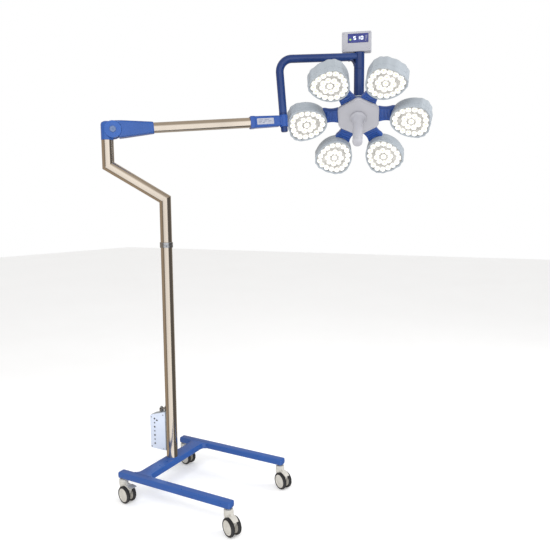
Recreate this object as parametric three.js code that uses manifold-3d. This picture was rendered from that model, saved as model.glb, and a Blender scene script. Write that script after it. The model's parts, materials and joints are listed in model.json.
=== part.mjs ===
// Mobile surgical light: castor base, stainless column with a mitred offset, spring arm, yoke and a
// six-petal lamp head. Millimetres, +Z up. Each named mesh is one physical piece.
import * as THREE from 'three';
import { mergeVertices } from 'three/addons/utils/BufferGeometryUtils.js';
import Module from 'manifold-3d';

const wasm = await Module();
wasm.setup();

// ---------------------------------------------------------------- driving dimensions
const gap = 0.3;                 // clearance left between pieces that touch
const deg = Math.PI / 180;

const legWidth = 38;             // rounded box-section legs of the H base
const legHeight = 28;
const legTop = 134;
const legRear = -115;            // the column axis is at x = 0, y = 0
const legFront = 470;
const trackWidth = 434;          // between the leg centre lines
const crossbarWidth = 64;
const crossbarFlare = 22;        // radius of the fillets where the crossbar meets a leg

const wheelRadius = 37.5;
const wheelWidth = 17;
const wheelGap = 14;             // between the two wheels of a castor
const castorTrail = 22;
const castorRearX = -98;
const castorFrontX = 453;
const frontHeading = -24 * deg;  // the way the castors trail at rest
const rearHeading = -12 * deg;

const columnRadius = 25.4;
const columnWall = 2;
const swivelHeight = 1128;       // where the upper column turns on the lower one
const armPlane = 42 * deg;       // azimuth of the offset and the arm at rest
const elbowHeight = 1324;        // mitre at the top of the straight column
const offsetReach = 236;         // sideways step of the column
const offsetRise = 144;
const pivotHeight = 1619;
const kneeDepth = 44;            // the arm's knuckle sits this far below the tilt pin
const pivotReach = 25;           // the tilt pin sits this far in front of the post axis
const armTilt = 4.6 * deg;

const bossRadius = 36;
const bossHalfWidth = 33;
const coverEnd = 175;            // along the arm, from the tilt pin
const tubeEnd = 655;
const capStart = 599;
const capEnd = 738;
const yokeReach = 758;
const armTubeRadius = 22.5;
const armTubeBore = 20;

const yokeTurn = -0.7 * deg;     // the yoke's heading against the arm at rest
const yokeTubeRadius = 18;
const yokeTubeBore = 15.5;
const yokeBend = 60;
const yokeHeight = 273;          // top tube above the arm axis
const yokeSpan = 388;            // from the yoke spindle to the lamp stem

const stemRadius = 24;
const stemHeading = 18.5 * deg;  // azimuth of the head's tilt axis at rest
const stemDrop = 229;            // from the top tube to the head's tilt pin
const sleeveBottom = -58;
const sleeveTop = 18;
const spigotRadius = 20;         // the part of the stem that turns in the sleeve
const headTilt = 47.6 * deg;     // how far the lamp face looks below the horizon

const petalCount = 6;
const petalRing = 240;           // radius of the circle through the petal centres
const petalReach = 91;           // petal centre to its ends
const petalHalfWidth = 89;
const petalLift = 85;            // petal centre above the tilt pin, along the way the lamp faces
const petalDepth = 76;
const petalLean = 11 * deg;      // each petal leans in, so that the beams meet
const hubAcrossFlats = 188;
const spiderBack = 40;
const spiderFront = 66;
const hubFront = 78;
const handleLength = 180;

// ---------------------------------------------------------------- materials
const finish = (color, roughness, metalness) =>
  new THREE.MeshStandardMaterial({ color, roughness, metalness });
const bluePaint = finish(0x3f68ab, 0.35, 0.1);
const deepBlue = finish(0x2c4f8f, 0.35, 0.1);
const stainless = finish(0xb9b4ac, 0.12, 1.0);
const steel = finish(0x8f9399, 0.35, 1.0);
const greyShell = finish(0xaeb5bc, 0.4, 0.0);
const paleShell = finish(0xc3c8cc, 0.38, 0.0);
const castorShell = finish(0xd3d1cd, 0.4, 0.0);
const tyreRubber = finish(0x2e2e30, 0.7, 0.0);
const panelWhite = finish(0xd2dae8, 0.4, 0.0);
const ledWhite = finish(0xf1f2ea, 0.2, 0.0);
const displayBlue = finish(0x23357d, 0.15, 0.0);
const blackPlastic = finish(0x222326, 0.5, 0.0);

// ---------------------------------------------------------------- small tools
// A piece of the assembly: a named mesh placed in a group.
function piece(group, name, geometry, material) {
  const mesh = new THREE.Mesh(geometry, material);
  mesh.name = name;
  group.add(mesh);
  return mesh;
}

function group(parent, x, y, z) {
  const child = new THREE.Group();
  child.position.set(x, y, z);
  parent.add(child);
  return child;
}

function solid(geometry) {
  const plain = geometry.clone();
  plain.deleteAttribute('normal');
  plain.deleteAttribute('uv');
  const merged = mergeVertices(plain, 1e-4);
  return new wasm.Manifold(new wasm.Mesh({
    numProp: 3,
    vertProperties: new Float32Array(merged.attributes.position.array),
    triVerts: new Uint32Array(merged.index.array),
  }));
}

function shape(body) {
  const mesh = body.getMesh();
  const geometry = new THREE.BufferGeometry();
  geometry.setAttribute('position', new THREE.BufferAttribute(mesh.vertProperties, 3));
  geometry.setIndex(new THREE.BufferAttribute(mesh.triVerts, 1));
  return geometry;
}

const box = (x0, x1, y0, y1, z0, z1) =>
  new THREE.BoxGeometry(x1 - x0, y1 - y0, z1 - z0)
    .translate((x0 + x1) / 2, (y0 + y1) / 2, (z0 + z1) / 2);

// A turned solid about Z, from its outline of [radius, height] points that starts and ends on the axis.
function turned(outline, segments = 24) {
  const points = outline.map(([radius, height]) => new THREE.Vector2(radius, height));
  return new THREE.LatheGeometry(points, segments).rotateX(Math.PI / 2);
}

const rod = (radius, z0, z1, segments = 24) =>
  turned([[0, z0], [radius, z0], [radius, z1], [0, z1]], segments);

const pipe = (radius, bore, z0, z1, segments = 24) =>
  turned([[bore, z0], [radius, z0], [radius, z1], [bore, z1], [bore, z0]], segments);

const alongY = (geometry) => geometry.rotateX(-Math.PI / 2);
const alongX = (geometry) => geometry.rotateY(Math.PI / 2);

// Points of a rectangle with round corners, anticlockwise about its centre.
function roundedRectangle(halfWidth, halfHeight, radius, steps = 3) {
  const points = [];
  const corners = [[1, 1], [-1, 1], [-1, -1], [1, -1]];
  corners.forEach(([sx, sy], quarter) => {
    for (let i = 0; i <= steps; i += 1) {
      const angle = (quarter + i / steps) * Math.PI / 2;
      points.push([
        sx * (halfWidth - radius) + radius * Math.cos(angle),
        sy * (halfHeight - radius) + radius * Math.sin(angle),
      ]);
    }
  });
  return points;
}

// A closed skin over sections: each section is an array of the same number of [x, y, z] points.
function loft(sections) {
  const count = sections[0].length;
  const positions = sections.flat(2);
  const index = [];
  for (let s = 0; s + 1 < sections.length; s += 1) {
    for (let i = 0; i < count; i += 1) {
      const a = s * count + i;
      const b = s * count + (i + 1) % count;
      index.push(a, b, a + count, b, b + count, a + count);
    }
  }
  const last = (sections.length - 1) * count;
  for (let i = 1; i + 1 < count; i += 1) {
    index.push(0, i + 1, i);
    index.push(last, last + i, last + i + 1);
  }
  const geometry = new THREE.BufferGeometry();
  geometry.setAttribute('position', new THREE.Float32BufferAttribute(positions, 3));
  geometry.setIndex(index);
  return geometry;
}

// A bar along X whose rounded section changes size: stations are [x, half width, half height, corner].
const bar = (stations) => loft(stations.map(([x, halfWidth, halfHeight, corner]) =>
  roundedRectangle(halfWidth, halfHeight, corner).map(([y, z]) => [x, y, z])));

// A flat plate between z0 and z1 with the outline of [x, y] points, its rims broken by a chamfer.
function slab(points, z0, z1, chamfer = 0) {
  const outline = new THREE.Shape(points.map(([x, y]) => new THREE.Vector2(x, y)));
  const settings = {
    depth: z1 - z0 - 2 * chamfer,
    bevelEnabled: chamfer > 0,
    bevelThickness: chamfer,
    bevelSize: chamfer,
    bevelOffset: -chamfer,
    bevelSegments: 1,
  };
  return new THREE.ExtrudeGeometry(outline, settings).translate(0, 0, z0 + chamfer);
}

// Everything on one side of a plane through a point, as a block far larger than any piece.
function halfSpace(point, normal) {
  const size = 2000;
  const facing = new THREE.Quaternion().setFromUnitVectors(
    new THREE.Vector3(0, 0, 1), normal.clone().normalize());
  return new THREE.BoxGeometry(size, size, size)
    .translate(0, 0, size / 2)
    .applyQuaternion(facing)
    .translate(point.x, point.y, point.z);
}

const cut = (body, ...geometries) =>
  geometries.reduce((left, geometry) => left.subtract(solid(geometry)), body);
const join = (first, ...geometries) =>
  geometries.reduce((whole, geometry) => whole.add(solid(geometry)), solid(first));

// ---------------------------------------------------------------- base
function buildBase(base) {
  const legBottom = legTop - legHeight;
  const stations = [
    [legRear, 15, 10, 4],
    [legRear + 4, legWidth / 2, legHeight / 2, 7],
    [legFront - 4, legWidth / 2, legHeight / 2, 7],
    [legFront, 15, 10, 4],
  ];
  for (const [name, side] of [['base_leg_right', -1], ['base_leg_left', 1]]) {
    const sockets = [castorRearX, castorFrontX].map((x) =>
      rod(6, legBottom - 1, legBottom + 22, 12).translate(x, 0, 0));
    const leg = cut(join(bar(stations).translate(0, 0, legTop - legHeight / 2)), ...sockets);
    piece(base, name, shape(leg).translate(0, side * trackWidth / 2, 0), bluePaint);
  }

  const end = trackWidth / 2 - legWidth / 2 - gap;
  const half = crossbarWidth / 2;
  const outline = [];
  for (const [sx, sy] of [[1, 1], [-1, 1], [-1, -1], [1, -1]]) {
    const corner = [];
    for (let i = 0; i <= 4; i += 1) {
      const angle = i / 4 * 70 * deg;
      corner.push([
        sx * (half + crossbarFlare * (1 - Math.cos(angle))),
        sy * (end - crossbarFlare * (1 - Math.sin(angle))),
      ]);
    }
    corner.push([corner[4][0], sy * end]);
    outline.push(...(sx * sy > 0 ? corner : corner.reverse()));
  }
  const crossbar = cut(
    join(slab(outline, legBottom, legTop)),
    rod(columnRadius + gap, legBottom + 6, legTop + 1),
    rod(6.5, legBottom - 1, legBottom + 7, 12));
  piece(base, 'base_crossbar', shape(crossbar), bluePaint);

  const tubeFoot = legBottom + 6 + gap;
  piece(base, 'column_lower_tube',
    pipe(columnRadius, columnRadius - columnWall, tubeFoot, swivelHeight - 4), stainless);
  const plug = columnRadius - columnWall - gap;
  const anchor = turned([
    [0, legBottom - 8], [10, legBottom - 8], [10, legBottom - gap], [6, legBottom - gap],
    [6, tubeFoot + 2], [plug, tubeFoot + 2], [plug, tubeFoot + 22], [0, tubeFoot + 22],
  ], 18);
  piece(base, 'column_anchor', anchor, steel);
  piece(base, 'column_swivel_ring',
    turned([
      [columnRadius + gap, swivelHeight - 18], [columnRadius + 2.6, swivelHeight - 18],
      [columnRadius + 3.4, swivelHeight - 15], [columnRadius + 3.4, swivelHeight + 3],
      [columnRadius + 2.6, swivelHeight + 6], [columnRadius + gap, swivelHeight + 6],
      [columnRadius + gap, swivelHeight - 18],
    ]), steel);
}

// ---------------------------------------------------------------- power box behind the column
function buildPowerBox(base) {
  const rear = -109;
  const front = -19;
  const bottom = legTop + 32;
  const topRear = bottom + 160;
  const topFront = bottom + 187;
  const halfDepth = 22;
  const wall = 2.5;
  const side = (inset) => [
    [rear + inset, bottom + inset],
    [front - inset, bottom + inset],
    [front - inset, topFront - inset],
    [rear + inset, topRear - inset],
  ];
  // The outline stands in the XZ plane and the slab's height becomes -Y.
  const upright = (geometry) => geometry.rotateX(Math.PI / 2);
  const columnHollow = rod(columnRadius + gap + 0.3, bottom - 5, topFront + 5);
  const rearCut = (z0, z1, halfWidth) =>
    box(rear - 1, rear + wall + 1, -halfWidth, halfWidth, z0, z1);
  const shell = cut(
    join(upright(slab(side(0), -halfDepth, halfDepth - 3, 3))),
    upright(slab(side(wall), -halfDepth + wall, halfDepth, 0)),
    box(front - 14, front + 1, -halfDepth - 1, halfDepth + 1, bottom - 1, topFront + 1),
    rearCut(bottom + 18, bottom + 42, 15),
    rearCut(bottom + 58, bottom + 80, 8));
  // The side against the column is a hollowed wall, joined back on to the shell.
  const saddle = solid(upright(slab([
    [front - 14 - wall, bottom + 1],
    [front, bottom + 1],
    [front, topFront - 1],
    [front - 14 - wall, topFront - 5],
  ], -halfDepth + 1, halfDepth - 3.5, 0)));
  const saddled = cut(shell.add(saddle), columnHollow);
  piece(base, 'power_box_case', shape(saddled), greyShell);

  const lid = cut(
    join(upright(slab(side(1), halfDepth - 3 + gap, halfDepth, 0.8))),
    columnHollow);
  piece(base, 'power_box_panel', shape(lid), panelWhite);
  const battery = box(rear + 8, rear + 66, -15, 14, bottom + 86, bottom + 152);
  piece(base, 'power_box_battery', battery, blackPlastic);

  // A bracket on top of the box, with a curved tab bolted to the back of the column.
  const bracket = cut(
    join(
      rod(columnRadius + 4, topFront + 5, topFront + 23),
      box(-62, -20, -9, 9, topFront + 5, topFront + 9),
      box(-62, -50, -9, 9, topFront - 8.8, topFront + 9)),
    rod(columnRadius + gap, topFront, topFront + 30),
    box(-14, 40, -40, 40, topFront, topFront + 30));
  piece(base, 'power_box_bracket', shape(bracket), steel);

  const inlet = cut(
    join(
      box(rear - 2, rear - gap, -17, 17, bottom + 15, bottom + 45),
      box(rear - 2, rear + 22, -14.5, 14.5, bottom + 18.5, bottom + 41.5)),
    box(rear - 3, rear + 16, -11, 11, bottom + 22, bottom + 38));
  piece(base, 'power_inlet', shape(inlet), blackPlastic);

  const rocker = group(base, rear + 1, 0, bottom + 69);
  const switchOutline = [[-8, -2.2], [3, -10], [5, -10], [5, 10], [3, 10], [-5, 1.5]];
  const rockerGeometry = slab(switchOutline.map(([x, z]) => [x + 3, z]), -7.3, 7.3, 0)
    .rotateX(Math.PI / 2);
  piece(rocker, 'power_switch', rockerGeometry, blackPlastic);
}

// ---------------------------------------------------------------- castors
function buildCastor(base, name, x, y, heading, braked) {
  const legBottom = legTop - legHeight;
  const castor = group(base, x, y, legBottom);
  castor.rotation.z = heading;
  const axleHeight = wheelRadius - legBottom;
  const halfGap = wheelGap / 2;
  const outerFace = halfGap + wheelWidth;
  const axleRadius = 7.5;

  // A turned neck, a web that carries the axle between the wheels, and a guard over the treads.
  const neck = turned([
    [0, -44], [16, -44], [20, -30], [20, -9], [15, -3], [14, -1], [5.6, -1], [5.6, 20], [0, 20],
  ], 12);
  const across = (outline, halfWidth) =>
    new THREE.ExtrudeGeometry(outline, { depth: 2 * halfWidth, bevelEnabled: false, curveSegments: 6 })
      .rotateX(Math.PI / 2).translate(0, halfWidth, 0);
  const web = new THREE.Shape();
  web.moveTo(-14, -8);
  web.lineTo(-14, -38);
  web.absarc(castorTrail, axleHeight, 13, 210 * deg, 360 * deg, false);
  web.lineTo(castorTrail + 27, -42);
  web.lineTo(14, -8);
  const guard = new THREE.Shape();
  guard.absarc(castorTrail, axleHeight, wheelRadius + 6, 50 * deg, 150 * deg, false);
  guard.absarc(castorTrail, axleHeight, wheelRadius + 2, 150 * deg, 50 * deg, true);
  const wheelRoom = [[-outerFace - 9, 0.7 - halfGap], [halfGap - 0.7, outerFace + 9]].map(
    ([y0, y1]) => alongY(rod(wheelRadius + 1.6, y0, y1, 18)).translate(castorTrail, 0, axleHeight));
  const carrier = cut(
    join(neck, across(web, halfGap - 1), across(guard, outerFace)),
    ...wheelRoom,
    alongY(rod(axleRadius + gap + 0.2, -30, 30, 12)).translate(castorTrail, 0, axleHeight));
  piece(castor, `${name}_hood`, shape(carrier), castorShell);

  // Both wheels are fast on their axle: one spool with a dished face on each side.
  const wheel = [
    [0, outerFace - 4], [25, outerFace - 4], [29, outerFace], [34.5, outerFace - 1],
    [wheelRadius, outerFace - 4], [wheelRadius, halfGap + 4], [34.5, halfGap], [axleRadius, halfGap],
  ];
  const outline = [
    ...wheel.map(([radius, height]) => [radius, -height]),
    ...wheel.slice().reverse(),
  ];
  const wheels = group(castor, castorTrail, 0, axleHeight);
  piece(wheels, `${name}_wheels`, alongY(turned(outline, 20)), tyreRubber);

  if (braked) {
    const pedal = group(castor, castorTrail + 28, 0, -25);
    const paddle = join(box(-4, 26, -13, 13, 0, 4), box(-4, 4, -13, 13, -4, 4));
    piece(pedal, `${name}_brake`, shape(paddle), greyShell);
  }
}

function buildCastors(base) {
  for (const [side, y] of [['right', -trackWidth / 2], ['left', trackWidth / 2]]) {
    buildCastor(base, `castor_front_${side}`, castorFrontX, y, frontHeading, false);
    buildCastor(base, `castor_rear_${side}`, castorRearX, y, rearHeading, true);
  }
}

// ---------------------------------------------------------------- upper column
// Three lengths of tube with mitred joints; the middle one slants back from the straight column.
function buildUpperColumn(column) {
  const bore = columnRadius - columnWall;
  const up = new THREE.Vector3(0, 0, 1);
  const slant = new THREE.Vector3(-offsetReach, 0, offsetRise).normalize();
  const mitre = up.clone().add(slant).normalize();
  const elbow = new THREE.Vector3(0, 0, elbowHeight - swivelHeight);
  const upperElbow = elbow.clone().add(new THREE.Vector3(-offsetReach, 0, offsetRise));
  const overrun = 80;
  const beyond = (point) => halfSpace(point.clone().addScaledVector(mitre, -gap / 2), mitre);
  const before = (point) =>
    halfSpace(point.clone().addScaledVector(mitre, gap / 2), mitre.clone().negate());

  const straight = pipe(columnRadius, bore, -4 + gap, elbow.z + overrun);
  piece(column, 'column_upper_tube', shape(cut(solid(straight), beyond(elbow))), stainless);

  const length = Math.hypot(offsetReach, offsetRise);
  const slanted = pipe(columnRadius, bore, -overrun, length + overrun)
    .applyQuaternion(new THREE.Quaternion().setFromUnitVectors(up, slant))
    .translate(0, 0, elbow.z);
  piece(column, 'column_offset_tube',
    shape(cut(solid(slanted), before(elbow), beyond(upperElbow))), stainless);

  const postTop = pivotHeight - swivelHeight - kneeDepth;
  const post = pipe(columnRadius, bore, upperElbow.z - overrun, postTop)
    .translate(-offsetReach, 0, 0);
  piece(column, 'column_post_tube', shape(cut(solid(post), before(upperElbow))), stainless);

  piece(column, 'column_spigot', pipe(bore - gap, 17, -125, 52, 20), steel);
}

// ---------------------------------------------------------------- arm
// The knuckle turns in the post. Its fork holds the tilt pin.
function buildKnuckle(swivel) {
  const spindle = columnRadius - columnWall - gap;
  const body = cut(
    join(
      turned([
        [0, gap - kneeDepth], [26, gap - kneeDepth], [26, 22], [22, 31], [14, 35.5], [0, 35.5],
      ], 24),
      alongY(rod(bossRadius, -bossHalfWidth, bossHalfWidth, 28)).translate(pivotReach, 0, 0),
      rod(spindle, -125, -40)),
    alongY(rod(29, -15, 15, 20)).translate(pivotReach, 0, 0),
    box(pivotReach, pivotReach + 40, -15, 15, -40, 40),
    alongY(rod(8.6, -40, 40, 12)).translate(pivotReach, 0, 0));
  piece(swivel, 'arm_knuckle', shape(body), bluePaint);
}

function buildArm(arm) {
  const pin = turned([
    [0, -37.5], [13, -37.5], [13, -33.4], [8, -33.4], [8, 33.4], [13, 33.4], [13, 37.5], [0, 37.5],
  ], 18);
  piece(arm, 'arm_pivot_pin', alongY(pin), stainless);

  const root = cut(
    join(
      alongY(rod(27, -14.5, 14.5)),
      box(0, 80, -14.5, 14.5, -16, 16),
      alongX(rod(armTubeBore - gap, 72, 150, 20))),
    alongY(rod(8.3, -20, 20, 16)));
  piece(arm, 'arm_root', shape(root), steel);
  piece(arm, 'arm_tube', alongX(pipe(armTubeRadius, armTubeBore, 80 + gap, tubeEnd)), stainless);

  const coverWall = 2.2;
  const skin = (inset) => bar([
    [0, bossHalfWidth - inset, bossRadius + 0.5 - inset, 9],
    [35, bossHalfWidth - inset, bossRadius - inset, 9],
    [coverEnd, 25.2 - inset, 25.2 - inset, 12],
  ]);
  const cavity = bar([
    [-1, bossHalfWidth - coverWall, bossRadius - coverWall, 8],
    [35, bossHalfWidth - coverWall, bossRadius - coverWall, 8],
    [coverEnd + 1, 23, 23, 11],
  ]);
  const aroundBoss = alongY(rod(bossRadius + 1.5, -50, 50, 36));
  const hollow = cut(solid(skin(0)), cavity, aroundBoss, box(-20, 22, -50, 50, -60, -20));
  const leftHalf = box(-60, 300, -gap / 2, 90, -90, 90);
  const rightHalf = box(-60, 300, -90, gap / 2, -90, 90);
  piece(arm, 'arm_cover_right', shape(cut(hollow, leftHalf)), bluePaint);
  piece(arm, 'arm_cover_left', shape(cut(hollow, rightHalf)), bluePaint);

  const cap = cut(
    join(
      bar([[capStart, 26, 27, 9], [capStart + 22, 26, 27, 9]]),
      bar([[capStart + 22, 24.5, 25.5, 8], [capEnd - 4, 23.5, 23.5, 8], [capEnd, 20, 20, 6]]),
      box(capEnd - 10, yokeReach, -16, 16, -20, 20),
      rod(20, -27, 27).translate(yokeReach, 0, 0)),
    alongX(rod(armTubeRadius + gap, capStart - 1, tubeEnd + 1)),
    rod(10.4, -30, 30, 18).translate(yokeReach, 0, 0));
  piece(arm, 'arm_end_cap', shape(cap), bluePaint);

  // The spring's wire winds along the arm with the pitch and radius given here.
  const coil = [];
  const turns = 6;
  const stepsPerTurn = 9;
  const pitch = 22;
  const coilRadius = 14;
  const wireRadius = 2;
  const coilStart = 160;
  for (let i = 0; i <= turns * stepsPerTurn; i += 1) {
    const angle = i / stepsPerTurn * 2 * Math.PI;
    const outward = new THREE.Vector3(0, Math.cos(angle), Math.sin(angle));
    const middle = outward.clone().multiplyScalar(coilRadius);
    middle.x = coilStart + i / stepsPerTurn * pitch;
    const around = new THREE.Vector3(0, -outward.z, outward.y).multiplyScalar(coilRadius);
    const along = around.setX(pitch / (2 * Math.PI)).normalize();
    const across = along.clone().cross(outward);
    coil.push([0, 1, 2, 3, 4].map((corner) => {
      const turn = corner / 5 * 2 * Math.PI;
      return middle.clone()
        .addScaledVector(outward, wireRadius * Math.cos(turn))
        .addScaledVector(across, wireRadius * Math.sin(turn))
        .toArray();
    }));
  }
  piece(arm, 'balance_spring', loft(coil), steel);
}

// ---------------------------------------------------------------- yoke
function buildYoke(yoke) {
  const spindle = turned([
    [0, -50], [13, -50], [16, -45], [16, -27.4], [10, -27.4], [10, 27.4], [17.5, 27.4], [17.5, 33],
    [yokeTubeBore - 1, 33], [yokeTubeBore - 1, 70], [0, 70],
  ], 18);
  piece(yoke, 'yoke_spindle', spindle, deepBlue);

  // The tube runs up, round the bend and across to the lamp sleeve.
  const stations = [[0, 33 + gap, 0]];
  const bendSteps = 7;
  for (let i = 0; i <= bendSteps; i += 1) {
    const angle = i / bendSteps * Math.PI / 2;
    stations.push([
      yokeBend * (1 - Math.cos(angle)),
      yokeHeight - yokeBend * (1 - Math.sin(angle)),
      angle,
    ]);
  }
  stations.push([yokeSpan, yokeHeight, Math.PI / 2]);
  const skin = (radius, sides) => loft(stations.map(([x, z, angle]) => {
    const ring = [];
    for (let i = 0; i < sides; i += 1) {
      const turn = i / sides * 2 * Math.PI;
      const inPlane = radius * Math.cos(turn);
      ring.push([
        x + inPlane * Math.cos(angle),
        radius * Math.sin(turn),
        z - inPlane * Math.sin(angle),
      ]);
    }
    return ring;
  }));
  const sleeveRoom = rod(stemRadius + gap, -80, 80).translate(yokeSpan, 0, yokeHeight);
  const tube = cut(solid(skin(yokeTubeRadius, 18)), skin(yokeTubeBore, 12), sleeveRoom);
  piece(yoke, 'yoke_tube', shape(tube), deepBlue);
}

// The sleeve stands plumb at the end of the yoke, and the lamp stem turns in it.
function buildSleeve() {
  const gusset = new THREE.Shape();
  const reach = stemRadius - 2;
  const fillet = 24;
  gusset.moveTo(-reach, -14);
  gusset.lineTo(-stemRadius - fillet, -19);
  gusset.absarc(-stemRadius - fillet, -19 - fillet, fillet, 90 * deg, 0, true);
  gusset.lineTo(-reach, -19 - fillet);
  const web = new THREE.ExtrudeGeometry(gusset, { depth: 24, bevelEnabled: false, curveSegments: 5 })
    .rotateX(Math.PI / 2).translate(0, 12, 0);
  const tubeRoom = alongX(rod(yokeTubeRadius + gap, -120, -10)).rotateY(-armTilt);
  return cut(
    join(rod(stemRadius, sleeveBottom, sleeveTop), web),
    rod(spigotRadius + gap, sleeveBottom - 1, sleeveTop + 1),
    tubeRoom);
}

// The control box is fixed on top of the lamp stem, so it turns with the head.
function buildControlBox(stem) {
  const frame = group(stem, -12, 0, sleeveTop + 2 * gap);
  const halfWidth = 68;
  const top = 90;
  const back = 22;
  const front = -19;
  const wall = 2.5;
  const outline = roundedRectangle(halfWidth, top / 2, 7, 2);
  const inner = roundedRectangle(halfWidth - wall, top / 2 - wall, 5, 2);
  // Slab heights run towards the viewer of the panel, along -Y.
  const facing = (geometry) => geometry.rotateX(Math.PI / 2).translate(0, 0, top / 2);
  const shell = cut(
    join(facing(slab(outline, -back, -front - gap, 3))),
    facing(slab(inner, -back + wall, -front + 5)));
  const flatFront = cut(shell, box(-90, 90, front - 20, front + 4, -1, top + 1));
  piece(frame, 'control_box_case', shape(flatFront), paleShell);

  const window = { left: -41, right: 54, low: top - 51, high: top - 10 };
  const bezel = cut(
    join(facing(slab(outline, -front - 4 + gap, -front + 4, 2))),
    box(window.left, window.right, front - 9, front - 2, window.low, window.high));
  piece(frame, 'control_box_bezel', shape(bezel), paleShell);
  const display = box(
    window.left + gap, window.right - gap,
    front - 3.6, front - 2 - gap,
    window.low + gap, window.high - gap);
  piece(frame, 'control_box_display', display, displayBlue);
}

// ---------------------------------------------------------------- lamp stem
function buildStem(stem) {
  const bottom = -(stemDrop - 42);
  const bore = stemRadius - 2.5;
  const tube = turned([
    [bore, bottom], [stemRadius, bottom], [stemRadius, sleeveBottom - gap],
    [spigotRadius, sleeveBottom - gap], [spigotRadius, sleeveTop + gap], [15, sleeveTop + gap],
    [15, sleeveBottom - 12], [bore, sleeveBottom - 20], [bore, bottom],
  ]);
  piece(stem, 'lamp_stem', tube, deepBlue);
  const foot = cut(
    join(
      rod(bore - gap, bottom - 5, bottom + 22, 20),
      turned([
        [0, 8 - stemDrop], [14, 8 - stemDrop], [26, bottom - 12], [26, bottom - gap], [0, bottom - gap],
      ], 20),
      alongX(rod(15.5, -17, 17, 20)).translate(0, 0, -stemDrop)),
    box(-40, -17, -40, 40, -stemDrop - 30, bottom - 12),
    box(17, 40, -40, 40, -stemDrop - 30, bottom - 12),
    alongX(rod(6.4, -30, 30, 14)).translate(0, 0, -stemDrop));
  piece(stem, 'lamp_stem_foot', shape(foot), deepBlue);
}

// ---------------------------------------------------------------- lamp head
// Head axes: X is the tilt axis, Z is the way the lamp faces, and the tilt pin is at the origin.
// A petal is made about its own centre: X runs away from the hub, Z is the way it shines.
function petalOutline(inset, count = 20) {
  const soften = (value) => Math.sign(value) * Math.abs(value) ** 0.86;
  const points = [];
  for (let i = 0; i < count; i += 1) {
    const angle = (i + 0.5) / count * 2 * Math.PI;
    points.push([
      (petalReach - inset) * soften(Math.cos(angle)),
      (petalHalfWidth - inset) * soften(Math.sin(angle)) * (0.96 + 0.2 * Math.cos(angle)),
    ]);
  }
  return points;
}

const petalBody = (levels) => loft(levels.map(([height, inset]) =>
  petalOutline(inset).map(([x, y]) => [x, y, height])));

// Leans a petal in towards the lamp's axis and moves it out to its place in the ring.
const atPetal = (geometry, k) => geometry
  .rotateY(-petalLean)
  .translate(petalRing, 0, petalLift)
  .rotateZ(k / petalCount * 2 * Math.PI);

function buildPetals(head) {
  const back = -petalDepth / 2;
  const front = petalDepth / 2;
  const wall = 3.2;
  const outer = [[back, 16], [back + 5, 5], [back + 16, 0], [front, 0]];
  const hollow = [[back + 4, 17], [back + 16, wall], [front + 1, wall]];
  const housing = shape(cut(solid(petalBody(outer)), petalBody(hollow)));
  const lens = petalBody([[front - 10, wall + gap], [front - 3, wall + gap]]);
  for (let k = 0; k < petalCount; k += 1) {
    piece(head, `petal_${k + 1}_housing`, atPetal(housing.clone(), k), greyShell);
    piece(head, `petal_${k + 1}_lens`, atPetal(lens.clone(), k), ledWhite);
  }
}

// A cast spider: a ring between the hub covers and one waisted, pocketed arm to each petal.
function buildSpider(head) {
  const armHalf = 36;
  const waist = 31;
  const start = 60;
  const petalGap = 0.5;
  const end = petalRing - petalReach + 28;
  const side = [];
  for (let i = 0; i <= 4; i += 1) {
    const x = 97 + i / 4 * 56;
    side.push([x, waist + (armHalf - waist) * Math.abs(i / 2 - 1) ** 2]);
  }
  const outline = [
    [start, -armHalf], ...side.map(([x, y]) => [x, -y]), [end, -armHalf],
    [end, armHalf], ...side.slice().reverse(), [start, armHalf],
  ];
  const arms = [];
  const pockets = [];
  for (let k = 0; k < petalCount; k += 1) {
    const angle = k / petalCount * 2 * Math.PI;
    arms.push(slab(outline, spiderBack, spiderFront).rotateZ(angle));
    pockets.push(atPetal(petalBody([[-petalDepth, -petalGap], [petalDepth, -petalGap]]), k));
    pockets.push(box(92, 146, -26, 26, spiderBack - 1, spiderFront - 5).rotateZ(angle));
  }
  const ring = pipe(88, 50, spiderBack, spiderFront, 20);
  const spider = cut(join(ring, ...arms), ...pockets, rod(50, spiderBack - 1, spiderFront + 1, 20));
  piece(head, 'hub_spider', shape(spider), bluePaint);
}

function buildHub(head) {
  const rim = spiderBack - gap;
  const dome = turned([
    [0, 16], [46, 16], [80, 24], [91, 33], [91, rim], [87, rim], [87, 35], [78, 28], [45, 20], [0, 20],
  ], 20);
  const lugs = [-27.6, 17.6].flatMap((x) => [
    alongX(rod(15, x, x + 10, 14)),
    box(x, x + 10, -15, 15, 0, 20),
  ]);
  const back = cut(join(dome, ...lugs), alongX(rod(6.4, -40, 40, 14)));
  piece(head, 'hub_back_cover', shape(back), greyShell);
  const pin = alongX(turned([
    [0, -32], [9, -32], [9, -28], [6, -28], [6, 28], [9, 28], [9, 32], [0, 32],
  ], 14));
  piece(head, 'tilt_pin', pin, stainless);

  const hexagon = (acrossFlats, corner) => {
    const points = [];
    const inradius = acrossFlats / 2 - corner;
    for (let k = 0; k < 6; k += 1) {
      const angle = (k + 0.5) / 6 * 2 * Math.PI;
      for (const spread of [-20, 0, 20]) {
        points.push([
          inradius / Math.cos(Math.PI / 6) * Math.cos(angle) + corner * Math.cos(angle + spread * deg),
          inradius / Math.cos(Math.PI / 6) * Math.sin(angle) + corner * Math.sin(angle + spread * deg),
        ]);
      }
    }
    return points;
  };
  const front = cut(
    join(slab(hexagon(hubAcrossFlats, 18), spiderFront + gap, hubFront, 4)),
    slab(hexagon(hubAcrossFlats - 8, 16), spiderFront - 4, hubFront - 4),
    rod(15, spiderFront - 1, hubFront + 1, 20));
  piece(head, 'hub_front_cover', shape(front), paleShell);
}

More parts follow.
